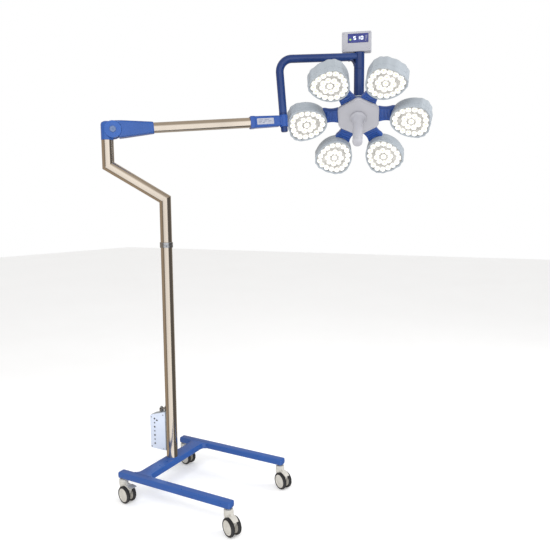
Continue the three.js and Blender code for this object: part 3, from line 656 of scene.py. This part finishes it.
# ---------------------------------------------------------------- column
def build_upper_column():
    """Three tubes with mitred, polished joints: up, aslant back, and up again to the arm."""
    post_point = joint_point("arm_swivel")
    offset = Vector((post_point.x - column_point.x, post_point.y - column_point.y, 0)).length / MM
    elbow = Vector((0, 0, 196))
    upper_elbow = elbow + Vector((-offset, 0, 144))
    slant = (upper_elbow - elbow).normalized()
    mitre = (UP + slant).normalized()
    post_top = Vector((-offset, 0, (post_point.z - column_point.z) / MM - KNEE_DEPTH))
    for name, start, end, cuts in (("upper", Vector((0, 0, -3.7)), elbow, (None, mitre)),
                                   ("offset", elbow, upper_elbow, (mitre, mitre)),
                                   ("post", upper_elbow, post_top, (mitre, None))):
        length = tube(start, end, COLUMN_RADIUS, COLUMN_BORE, *cuts)
        make(f"{name}_column", length, "stainless", "upper_column", column_place, [f"column_{name}_tube"])


# ---------------------------------------------------------------- arm
BOSS_RADIUS = 36.0
BOSS_HALF_WIDTH = 33.0
PIN_REACH = arm_heading.length / MM


def build_knuckle():
    """The painted knuckle on the post, with the round boss that carries the tilt pin."""
    foot = 0.4 - KNEE_DEPTH
    body = lathe([(0, foot), (26, foot), (26, 22), (23, 30), (14, 35.5), (0, 35.5)], 2.0, 72)
    boss = turned_to(rod(BOSS_RADIUS, -BOSS_HALF_WIDTH, BOSS_HALF_WIDTH, 1.5, 120), Y_AXIS)
    knuckle = boolean(body, shifted(boss, x=PIN_REACH), "UNION")
    room = turned_to(rod(29, -15, 15, 0, 48), Y_AXIS)
    knuckle = boolean(knuckle, shifted(room, x=PIN_REACH))
    knuckle = boolean(knuckle, block(PIN_REACH, PIN_REACH + 40, -15, 15, -40, 40, 0))
    make("knuckle", knuckle, "blue_paint", "arm_swivel", swivel_place, ["arm_knuckle"], edge=0.5)


def build_arm():
    """The sprung arm: pin, moulded cover in two halves, polished tube and the cast end with its label."""
    pin_end = [(0, 36.5), (3, 36.5), (4, 37.5), (11, 37.5), (13, 35.5), (13, 33.2), (8, 33.2)]
    pin = lathe(both_ends(pin_end), 0.6, 56)
    make("pivot_pin", turned_to(pin, Y_AXIS), pin_paint, "arm", arm_place, ["arm_pivot_pin"])
    barrel = tube(Vector((80, 0, 0)), Vector((655, 0, 0)), ARM_RADIUS, 20.0)
    make("arm_barrel", barrel, "stainless", "arm", arm_place, ["arm_tube"])

    wall = 2.2

    def shell(inset, start, end):
        stations = [(start, BOSS_HALF_WIDTH - inset, BOSS_RADIUS + 0.4 - inset, 11 - inset),
                    (20, BOSS_HALF_WIDTH - inset, BOSS_RADIUS + 0.3 - inset, 11 - inset),
                    (40, BOSS_HALF_WIDTH - inset, BOSS_RADIUS - 0.6 - inset, 11 - inset)]
        for i in range(1, 7):
            t = i / 6
            half = (BOSS_HALF_WIDTH - 7.8 * t, BOSS_RADIUS - 0.6 - 10.2 * t)
            stations.append((40 + 125 * t, half[0] - inset, half[1] - inset, 11 + 3 * t - inset))
        last = 22.8 if inset else 24.6
        stations.append((end, last, last, 14))
        return bar(stations, 8)

    around_boss = turned_to(rod(BOSS_RADIUS + 0.7, -50, 50, 0, 120), Y_AXIS)
    hollow = boolean(shell(0, 0, 169), shell(wall, -1, 170))
    hollow = boolean(hollow, around_boss)
    hollow = boolean(hollow, block(-20, 22, -50, 50, -60, -20, 0))
    copy = hollow.copy()
    right = boolean(hollow, block(-60, 300, -0.2, 90, -90, 90, 0))
    left = boolean(copy, block(-60, 300, -90, 0.2, -90, 90, 0))
    make("cover_near_half", right, "blue_cover", "arm", arm_place, ["arm_cover_left"], edge=0.3)
    make("cover_far_half", left, "blue_cover", "arm", arm_place, ["arm_cover_right"], edge=0.3)
    seam = lathe([(22.7, 167), (25.4, 167), (26.2, 169), (25.4, 171.5), (22.7, 171.5)], 0.6, 72)
    make("cover_collar", turned_to(seam, X_AXIS), "blue_cover", "arm", arm_place)

    cap_start, cap_end = 599.0, 738.0
    reach = arm_reach.length / MM
    lip = [(cap_start, 23.5, 24.5, 8), (cap_start + 1.5, 25.4, 26.4, 9), (cap_start + 4, 26, 27, 9),
           (cap_start + 19, 26, 27, 9), (cap_start + 21, 25.2, 26.2, 9), (cap_start + 23, 24.5, 25.5, 8),
           (cap_end - 8, 23.6, 23.7, 8), (cap_end - 3, 22.6, 22.8, 8), (cap_end, 19.5, 19.5, 7)]
    cap = boolean(bar(lip, 8), block(cap_end - 14, reach, -16, 16, -20, 20, 4), "UNION")
    cap = boolean(cap, shifted(rod(20, -27, 27, 2.5), x=reach), "UNION")
    cap = boolean(cap, turned_to(rod(ARM_RADIUS + 0.3, cap_start - 1, 656, 0, 80), X_AXIS))
    cap = boolean(cap, shifted(rod(10.4, -30, 30, 0, 48), x=reach))
    make("arm_end_casting", cap, "blue_casting", "arm", arm_place, ["arm_end_cap"], edge=0.6)

    face = Matrix.Translation((0, -24.2, 0)) @ Matrix.Rotation(math.pi / 2, 4, "X")
    middle = Vector((667, 0))
    film = plate([middle + p for p in rounded_rectangle(39, 13.5, 3)], 0, 1.0, 0.4)
    film.transform(face)
    make("arm_label", film, label_film, "arm", arm_place)
    lines = []
    for row in range(3):
        for column in range(2 + row % 2):
            length = 22 - 5 * row
            start = middle + Vector((-32 + column * (length + 5), 6 - 6 * row))
            stroke = [start + p for p in rounded_rectangle(length / 2 - 1, 1.1, 0.8)]
            lines.append(plate([p + Vector((length / 2, 0)) for p in stroke], 0.8, 1.25, 0.2))
    marks = together(*lines)
    marks.transform(face)
    make("arm_label_lines", marks, label_print, "arm", arm_place)


# ---------------------------------------------------------------- yoke and control box
YOKE_BEND = 60.0
YOKE_SPAN = (yoke_place.inverted() @ stem_point).x
YOKE_HEIGHT = (yoke_place.inverted() @ stem_point).z


def build_yoke():
    """The bent yoke tube, its spindle, and the sleeve that holds the lamp stem."""
    spindle = lathe([(0, -50), (12, -50), (15, -47), (16, -43), (16, -27.4), (10, -27.4), (10, 27.4),
                     (17.5, 27.4), (18.6, 29), (18.6, 36), (18, 38), (0, 38)], 0.8, 56)
    make("yoke_pivot", spindle, "deep_blue", "yoke", yoke_place, ["yoke_spindle"])
    path = [(0.0, 36.0, 0.0)]
    for i in range(25):
        turn = i / 24 * math.pi / 2
        drop = YOKE_BEND * (1 - math.sin(turn))
        path.append((YOKE_BEND * (1 - math.cos(turn)), YOKE_HEIGHT - drop, turn))
    path.append((YOKE_SPAN - STEM_RADIUS + 6, YOKE_HEIGHT, math.pi / 2))
    rings = []
    for x, z, turn in path:
        ring = []
        for i in range(48):
            around = 2 * math.pi * i / 48
            level = YOKE_RADIUS * math.cos(around)
            side = YOKE_RADIUS * math.sin(around)
            ring.append((x + level * math.cos(turn), side, z - level * math.sin(turn)))
        rings.append(ring)
    make("yoke_pipe", skin(rings), "deep_blue", "yoke", yoke_place, ["yoke_tube"])

    sleeve = pipe(20.3, STEM_RADIUS, -58, SLEEVE_TOP, 1.2, 72)
    fillet = 26.0
    gusset = [(-STEM_RADIUS + 3, -12), (-STEM_RADIUS - fillet, -16)]
    for i in range(9):
        turn = math.radians(90 - i * 90 / 8)
        gusset.append((-STEM_RADIUS - fillet + fillet * math.cos(turn),
                       -16 - fillet + fillet * math.sin(turn)))
    gusset.append((-STEM_RADIUS + 3, -16 - fillet))
    web = plate(gusset, -13, 13, 3.0)
    web.transform(Matrix.Rotation(math.pi / 2, 4, "X"))
    make("stem_sleeve", together(sleeve, web), "deep_blue", "yoke", sleeve_place, ["yoke_lamp_sleeve"])


SEGMENTS = {"a": (0, 1, True), "b": (1, 0.5, False), "c": (1, -0.5, False), "d": (0, -1, True),
            "e": (-1, -0.5, False), "f": (-1, 0.5, False), "g": (0, 0, True)}
DIGITS = {"5": "afgcd", "1": "bc", "0": "abcdef"}


def digit(shape, x, z, width, height):
    """One seven-segment digit as raised bars, facing -Y."""
    stroke = 2.6
    bars = []
    for name in DIGITS[shape]:
        across, level, flat = SEGMENTS[name]
        cx = x + across * width / 2
        cz = z + level * height / 2
        half_x, half_z = (width / 2, stroke / 2) if flat else (stroke / 2, height / 4)
        bars.append(block(cx - half_x, cx + half_x, -0.8, 0.0, cz - half_z, cz + half_z, 0.25))
    return bars


def build_control_box():
    """The control box on the stem: a two-part case, a recessed display, numbers and an indicator."""
    where = stem_place @ Matrix.Translation((-12, 0, SLEEVE_TOP + 0.6))
    half_width, top = 68.0, 90.0
    back, front = 22.0, -19.0
    facing = Matrix.Translation((0, 0, top / 2)) @ Matrix.Rotation(math.pi / 2, 4, "X")
    outline = rounded_rectangle(half_width, top / 2, 8, 8)
    case = plate(outline, -back, -front - 4.3, 4.0, 5)
    case.transform(facing)
    make("control_case", case, "pale_shell", "lamp_stem", where, ["control_box_case"])
    left, right, low, high = -41.0, 54.0, top - 51, top - 10
    bezel = plate(outline, -front - 3.7, -front + 4, 3.0, 5)
    bezel.transform(facing)
    window = block(left, right, front - 9, front - 2, low, high, 0)
    bezel = boolean(bezel, window)
    make("control_bezel", bezel, "pale_shell", "lamp_stem", where, ["control_box_bezel"], edge=0.8)
    glass = block(left + 0.3, right - 0.3, front - 3.4, front - 1.7, low + 0.3, high - 0.3, 0.4)
    make("control_display", glass, "display", "lamp_stem", where, ["control_box_display"])

    surface = front - 3.4
    middle = high - 20
    digits = digit("5", -9, middle, 9, 13) + digit("1", 8, middle, 8, 13) + digit("0", 24, middle, 9, 13)
    make("control_digits", shifted(together(*digits), y=surface), digit_glow, "lamp_stem", where)
    lamp = lathe([(0, 0), (4.5, 0), (4.5, 0.5), (0, 1.1)], 0.3, 24)
    lamp = shifted(turned_to(lamp, -Y_AXIS), x=left + 12, y=surface, z=high - 26)
    make("control_indicator", lamp, green_glow, "lamp_stem", where)
    scale = []
    for i in range(5):
        level = low + 7 + 5.6 * i
        scale.append(block(40, 43 + 1.6 * i, surface - 0.6, surface, level, level + 2.2, 0.2))
    make("control_level_bars", together(*scale), label_film, "lamp_stem", where)
    spots = [(x, front - 4, z) for x in (-half_width + 9, half_width - 9) for z in (9, top - 9)]
    head = [(0, 0), (2.6, 0), (2.6, 0.5), (1.2, 0.5), (1.2, 0.1), (0, 0.1)]
    make("control_screws", turned_copies(head, 0.15, 20, spots), "steel", "lamp_stem", where)


# ---------------------------------------------------------------- lamp stem
STEM_DROP = (stem_point.z - joint_point("head_tilt").z) / MM


def build_stem():
    """The lamp stem turns in the sleeve and ends in the flared foot that carries the tilt pin."""
    bottom = -(STEM_DROP - 42)
    pole = pipe(20, STEM_RADIUS, -58.3, bottom, 0.8, 72)
    spigot = pipe(15, 20, -62, SLEEVE_TOP + 0.8, 0.3)
    make("stem_pole", together(pole, spigot), "deep_blue", "lamp_stem", stem_place, ["lamp_stem"])
    flare = lathe([(0, bottom - 30), (16, bottom - 30), (24, bottom - 16), (27, bottom - 9),
                   (26, bottom - 2), (24.6, bottom + 1), (20.5, bottom + 1), (20.5, bottom + 12),
                   (0, bottom + 12)], 2.0, 72)
    flare = boolean(flare, block(-60, -17, -40, 40, bottom - 60, bottom - 12, 0))
    flare = boolean(flare, block(17, 60, -40, 40, bottom - 60, bottom - 12, 0))
    eye = shifted(turned_to(rod(15.5, -17, 17, 1.5, 56), X_AXIS), z=-STEM_DROP)
    foot = boolean(flare, eye, "UNION")
    bore = turned_to(rod(6.4, -30, 30, 0, 40), X_AXIS)
    foot = boolean(foot, shifted(bore, z=-STEM_DROP))
    make("stem_foot", foot, "deep_blue", "lamp_stem", stem_place, ["lamp_stem_foot"], edge=0.5)


# ---------------------------------------------------------------- lamp head
def petal_outline(inset=0.0, count=120):
    """A petal's outline about its own centre: X runs away from the hub, and the far end is scalloped."""
    points = []
    for i in range(count):
        angle = 2 * math.pi * (i + 0.5) / count
        along = math.copysign(abs(math.cos(angle)) ** 0.86, math.cos(angle))
        across = math.copysign(abs(math.sin(angle)) ** 0.86, math.sin(angle))
        scallop = 1 + 0.018 * max(0.0, math.cos(angle)) ** 0.5 * (math.cos(16 * angle) - 1)
        widen = 0.96 + 0.2 * math.cos(angle)
        points.append(Vector((
            (PETAL_REACH - inset) * along * scallop,
            (PETAL_HALF_WIDTH - inset) * across * widen * scallop)))
    return points


def petal_body(levels):
    return skin([[(x, y, height) for x, y in petal_outline(inset)] for height, inset in levels])


def evenly_along(points, count):
    """Points at equal distances round a closed outline, starting halfway along the first stretch."""
    lengths = [0.0]
    for i, point in enumerate(points):
        lengths.append(lengths[-1] + (points[(i + 1) % len(points)] - point).length)
    spots = []
    for k in range(count):
        target = (k + 0.5) / count * lengths[-1]
        i = next(i for i in range(len(points)) if lengths[i + 1] >= target)
        share = (target - lengths[i]) / (lengths[i + 1] - lengths[i])
        spots.append(points[i].lerp(points[(i + 1) % len(points)], share))
    return spots


def build_petal(index):
    """One LED module: moulded housing, optic bed, and round reflectors in a rim row and an inner group."""
    ring_turn = Matrix.Rotation(2 * math.pi * index / PETALS, 4, "Z")
    lean = Matrix.Rotation(-PETAL_LEAN, 4, "Y")
    where = head_place @ ring_turn @ Matrix.Translation((PETAL_RING, 0, PETAL_LIFT)) @ lean
    back, front = -PETAL_DEPTH / 2, PETAL_DEPTH / 2
    outer = []
    for i in range(8):
        turn = i / 7 * math.pi / 2
        outer.append((back + 18 * (1 - math.cos(turn)), 17 * (1 - math.sin(turn))))
    groove = [(front - 24, 0), (front - 23.2, 0.9), (front - 21.8, 0.9), (front - 21, 0)]
    rim = [(front - 8, 0), (front - 7.4, -0.8), (front - 1.6, -0.8), (front - 0.3, 0.3), (front, 1.4),
           (front - 0.2, 4.6), (front - 1.4, 6.0), (front - 9, 7.2), (front - 13, 9)]
    housing = petal_body(outer + groove + rim)
    name = f"petal_{index + 1}"
    make(f"{name}_shell", housing, "grey_shell", "lamp_head", where, [f"{name}_housing"])
    bed_top = front - 8
    bed = petal_body([(bed_top - 8, 7.2), (bed_top - 0.6, 6.8), (bed_top, 7.6)])
    make(f"{name}_bed", bed, optic_bed, "lamp_head", where)

    radius = 12.6
    spots = evenly_along(petal_outline(radius + 7.6), 16)
    centre = Vector((4, 0))
    for k in range(8):
        turn = 2 * math.pi * (k + 0.5) / 8
        spots.append(centre + Vector((math.cos(turn) * 34, math.sin(turn) * 33)))
    spots.append(centre)
    profile = [(0, 1.4), (4, 1.5), (7.5, 2.9), (9.8, 5.0), (11, 6.6), (12, 7.0),
               (radius, 6.2), (radius, 0.0), (0, 0.0)]
    chip = [(0, 0.5), (3, 0.5), (3, 2.2), (2.2, 3.9), (0, 4.6)]
    reflectors = []
    chips = []
    for spot in spots:
        reflectors.append(shifted(lathe(profile, 0.6, 28), spot.x, spot.y, bed_top - 0.4))
        chips.append(shifted(lathe(chip, 0.6, 16), spot.x, spot.y, bed_top))
    make(f"{name}_optics", together(*reflectors), "lens", "lamp_head", where, [f"{name}_lens"])
    make(f"{name}_chips", together(*chips), led_chip, "lamp_head", where)


def build_spider():
    """The blue casting: a ring behind the hub cover and one waisted, ribbed arm to each petal."""
    arm_half, waist = 36.0, 31.0
    side = []
    for i in range(13):
        x = 97 + i / 12 * 56
        side.append((x, waist + (arm_half - waist) * (i / 6 - 1) ** 2))
    end = PETAL_RING - PETAL_REACH + 24
    outline = [(60, -arm_half + 2)] + [(x, -y) for x, y in side] + [(end, -arm_half)]
    outline += [(end, arm_half)] + [(x, y) for x, y in reversed(side)] + [(60, arm_half - 2)]
    meshes = [pipe(50, 88, SPIDER_BACK, SPIDER_FRONT, 1.5, 96)]
    for k in range(PETALS):
        angle = 2 * math.pi * k / PETALS
        meshes.append(spun(plate(outline, SPIDER_BACK, SPIDER_FRONT, 2.5), angle))
        for x, half in ((102, 31.5), (116, 29.5), (130, 29.5), (144, 31.5)):
            rib = [Vector((x, 0)) + p for p in rounded_rectangle(3.2, half - 1.5, 2.5)]
            for low in (SPIDER_FRONT - 2, SPIDER_BACK - 3):
                meshes.append(spun(plate(rib, low, low + 5, 1.6), angle))
    make("spider", together(*meshes), "blue_casting", "lamp_head", head_place, ["hub_spider"])


def hexagon(across_flats, corner, steps=6):
    """A hexagon with its flats towards the petals and its corners rounded."""
    points = []
    inner = (across_flats / 2 - corner) / math.cos(math.pi / 6)
    for k in range(6):
        angle = (k + 0.5) * math.pi / 3
        for i in range(steps + 1):
            turn = angle + (i / steps - 0.5) * math.pi / 3
            points.append(Vector((inner * math.cos(angle) + corner * math.cos(turn),
                                  inner * math.sin(angle) + corner * math.sin(turn))))
    return points


def build_hub():
    """The hub: domed back cover with the tilt lugs, the pin, and the hexagonal front cover."""
    rim = SPIDER_BACK - 0.3
    dome = lathe([(0, 16), (46, 16), (80, 24), (91, 33), (91, rim), (87, rim), (86, 35), (78, 28),
                  (45, 20), (0, 20)], 3.0, 96)
    for start in (-27.6, 17.6):
        lug = [(-15, 18.5), (-15, 0)]
        lug += [(15 * math.cos(math.radians(180 + i * 15)), 15 * math.sin(math.radians(180 + i * 15)))
                for i in range(1, 12)]
        lug += [(15, 0), (15, 18.5)]
        cheek = plate([Vector((y, z)) for y, z in lug], 0, 10, 1.5)
        cheek.transform(Matrix(((0, 0, 1, start), (1, 0, 0, 0), (0, 1, 0, 0), (0, 0, 0, 1))))
        dome = boolean(dome, cheek, "UNION")
    dome = boolean(dome, turned_to(rod(6.4, -40, 40, 0, 40), X_AXIS))
    make("hub_dome", dome, "grey_shell", "lamp_head", head_place, ["hub_back_cover"], edge=0.5)
    pin = lathe(both_ends([(0, 31), (3, 31), (4, 32), (8, 32), (9, 31), (9, 28), (6, 28)]), 0.5, 40)
    make("hub_tilt_pin", turned_to(pin, X_AXIS), "steel", "lamp_head", head_place, ["tilt_pin"])

    levels = [(0.0, SPIDER_FRONT + 0.4), (0.0, SPIDER_FRONT + 7.5), (0.6, SPIDER_FRONT + 9.4),
              (2.4, SPIDER_FRONT + 11), (5.0, HUB_FRONT - 0.2), (7.0, HUB_FRONT),
              (8.6, HUB_FRONT - 0.6), (9.6, HUB_FRONT - 1.6),
              (10.8, HUB_FRONT - 1.4), (26.0, HUB_FRONT + 0.2), (52.0, HUB_FRONT + 1.2)]
    rings = []
    for inset, height in levels:
        corner = max(8.0, 30.0 - inset * 0.4)
        rings.append([(x, y, height) for x, y in hexagon(HUB_ACROSS - 2 * inset, corner)])
    cover = skin(rings)
    cover = boolean(cover, rod(15, HUB_FRONT - 9, HUB_FRONT + 9, 0, 40))
    make("hub_cover", cover, "pale_shell", "lamp_head", head_place, ["hub_front_cover"], edge=0.3)


def build_handle():
    """The handle: flared collar on the hub, plain grip with fine rings, and a rounded end."""
    foot = HUB_FRONT + 1.6
    tip = HUB_FRONT + HANDLE_LENGTH
    outline = [(0, foot - 24), (14, foot - 24), (14, foot), (37, foot), (38.5, foot + 3), (37, foot + 7),
               (31, foot + 13), (26, foot + 25), (23, foot + 40)]
    for i in range(3):
        level = foot + 44 + 5 * i
        outline += [(22.5, level), (21.8, level + 0.8), (21.8, level + 1.8), (22.5, level + 2.6)]
    outline += [(22.5, tip - 32), (21, tip - 28), (21, tip - 25), (22.7, tip - 21), (22.7, tip - 15),
                (20.5, tip - 6), (15, tip - 1.6), (8, tip - 0.3), (0, tip)]
    make("handle_grip", lathe(outline, 1.6, 72), "pale_shell", "handle", head_place, ["lamp_handle"])


build_base()
build_power_box()
for wheel_end in ("front", "rear"):
    for wheel_side in ("right", "left"):
        build_castor(f"castor_{wheel_end}_{wheel_side}", wheel_end == "rear")
build_upper_column()
build_knuckle()
build_arm()
build_yoke()
build_control_box()
build_stem()
for petal in range(PETALS):
    build_petal(petal)
build_spider()
build_hub()
build_handle()


# ---------------------------------------------------------------- camera, floor and light
CAMERA_FROM_COLUMN = Vector((1.6209, -1.970, 1.2596))


def build_camera():
    """The camera, at the photograph's viewing angle on the column."""
    spot = Vector((column_point.x, column_point.y, 0)) + CAMERA_FROM_COLUMN
    heading = math.radians(28.4978)
    pitch = math.radians(6.3014)
    roll = math.radians(-0.4051)
    right = Vector((math.cos(heading), math.sin(heading), 0))
    level = math.cos(pitch)
    ahead = Vector((-math.sin(heading) * level, math.cos(heading) * level, -math.sin(pitch)))
    above = right.cross(ahead)
    camera_x = right * math.cos(roll) + above * math.sin(roll)
    camera_y = above * math.cos(roll) - right * math.sin(roll)
    matrix = Matrix((camera_x, camera_y, -ahead)).transposed().to_4x4()
    matrix.translation = spot
    data = bpy.data.cameras.new("camera")
    focal_length, image_side = 560.0, 550.0
    data.sensor_width = 36.0
    data.lens = focal_length / image_side * data.sensor_width
    camera = bpy.data.objects.new("camera", data)
    camera.matrix_world = matrix
    bpy.context.scene.collection.objects.link(camera)
    bpy.context.scene.camera = camera
    return spot


def area_light(name, spot, target, size, power, color=(1, 1, 1)):
    data = bpy.data.lights.new(name, "AREA")
    data.shape = "RECTANGLE"
    data.size, data.size_y = size
    data.energy = power
    data.color = color
    light = bpy.data.objects.new(name, data)
    light.location = spot
    light.visible_glossy = False
    light.rotation_mode = "QUATERNION"
    light.rotation_quaternion = (target - spot).to_track_quat("-Z", "Y")
    bpy.context.scene.collection.objects.link(light)


# Walls of the studio by heading, from behind the object (0) round past the camera (0.5) and back.
STUDIO_BANDS = (
    (0.0, (0.55, 0.53, 0.5)), (1.0, (0.55, 0.53, 0.5)), (0.04, (0.4, 0.33, 0.26)),
    (0.3, (0.5, 0.42, 0.33)), (0.37, (0.2, 0.17, 0.14)), (0.42, (1.2, 1.2, 1.2)),
    (0.62, (1.4, 1.4, 1.4)), (0.65, (0.14, 0.135, 0.13)), (0.84, (0.15, 0.14, 0.13)),
    (0.92, (0.45, 0.42, 0.38)))
AMBIENT = (0.74, 0.74, 0.74)
WHITE = (1, 1, 1)
CEILING = (0.55, 0.5, 0.44)


def build_studio(camera_spot):
    """A pale floor, two large soft lights, and walls whose bands show only in polished metal."""
    mesh = bmesh.new()
    bmesh.ops.create_grid(mesh, x_segments=24, y_segments=24, size=14.0)
    data = bpy.data.meshes.new("floor")
    mesh.to_mesh(data)
    mesh.free()
    data.materials.append(material("floor", (0.93, 0.93, 0.93), 0.9, mottle=0.01, patch=1.0, glow=0.22))
    floor = bpy.data.objects.new("floor", data)
    bpy.context.scene.collection.objects.link(floor)
    floor.visible_glossy = False

    world = bpy.data.worlds.new("studio")
    world.use_nodes = True
    tree = world.node_tree
    direction = add_node(tree, "ShaderNodeTexCoord").outputs["Generated"]
    parts = add_node(tree, "ShaderNodeSeparateXYZ")
    tree.links.new(direction, parts.inputs["Vector"])
    azimuth = add_node(tree, "ShaderNodeMath", operation="ARCTAN2")
    tree.links.new(parts.outputs["Y"], azimuth.inputs[0])
    tree.links.new(parts.outputs["X"], azimuth.inputs[1])
    share = add_node(tree, "ShaderNodeMath", operation="MULTIPLY_ADD")
    share.inputs[1].default_value = 1 / (2 * math.pi)
    share.inputs[2].default_value = 1.5 - math.atan2(camera_spot.y, camera_spot.x) / (2 * math.pi)
    tree.links.new(azimuth.outputs["Value"], share.inputs[0])
    wrapped = add_node(tree, "ShaderNodeMath", operation="FRACT")
    tree.links.new(share.outputs["Value"], wrapped.inputs[0])
    bands = add_node(tree, "ShaderNodeValToRGB")
    tree.links.new(wrapped.outputs["Value"], bands.inputs["Fac"])
    for i, (spot, color) in enumerate(STUDIO_BANDS):
        stops = bands.color_ramp.elements
        stop = stops[i] if i < 2 else stops.new(spot)
        stop.position = spot
        stop.color = (*color, 1)
    height = parts.outputs["Z"]
    overhead = map_range(tree, height, (0.25, 0.8), (0, 1), interpolation_type="SMOOTHSTEP")
    rays = add_node(tree, "ShaderNodeLightPath").outputs
    walls = mixed(tree, overhead, bands.outputs["Color"], CEILING)
    soft = mixed(tree, rays["Is Diffuse Ray"], walls, AMBIENT)
    background = tree.nodes["Background"]
    tree.links.new(mixed(tree, rays["Is Camera Ray"], soft, WHITE), background.inputs["Color"])
    background.inputs["Strength"].default_value = 1.0
    bpy.context.scene.world = world
    bpy.context.scene.view_settings.view_transform = "Standard"

    middle = Vector((0, 0, 1.2))
    area_light("key", camera_spot + Vector((-0.4, -0.6, 1.9)), middle, (1.6, 1.2), 52.0)
    area_light("side", Vector((2.6, 1.2, 2.2)), middle, (1.0, 2.0), 45.0)


build_studio(build_camera())
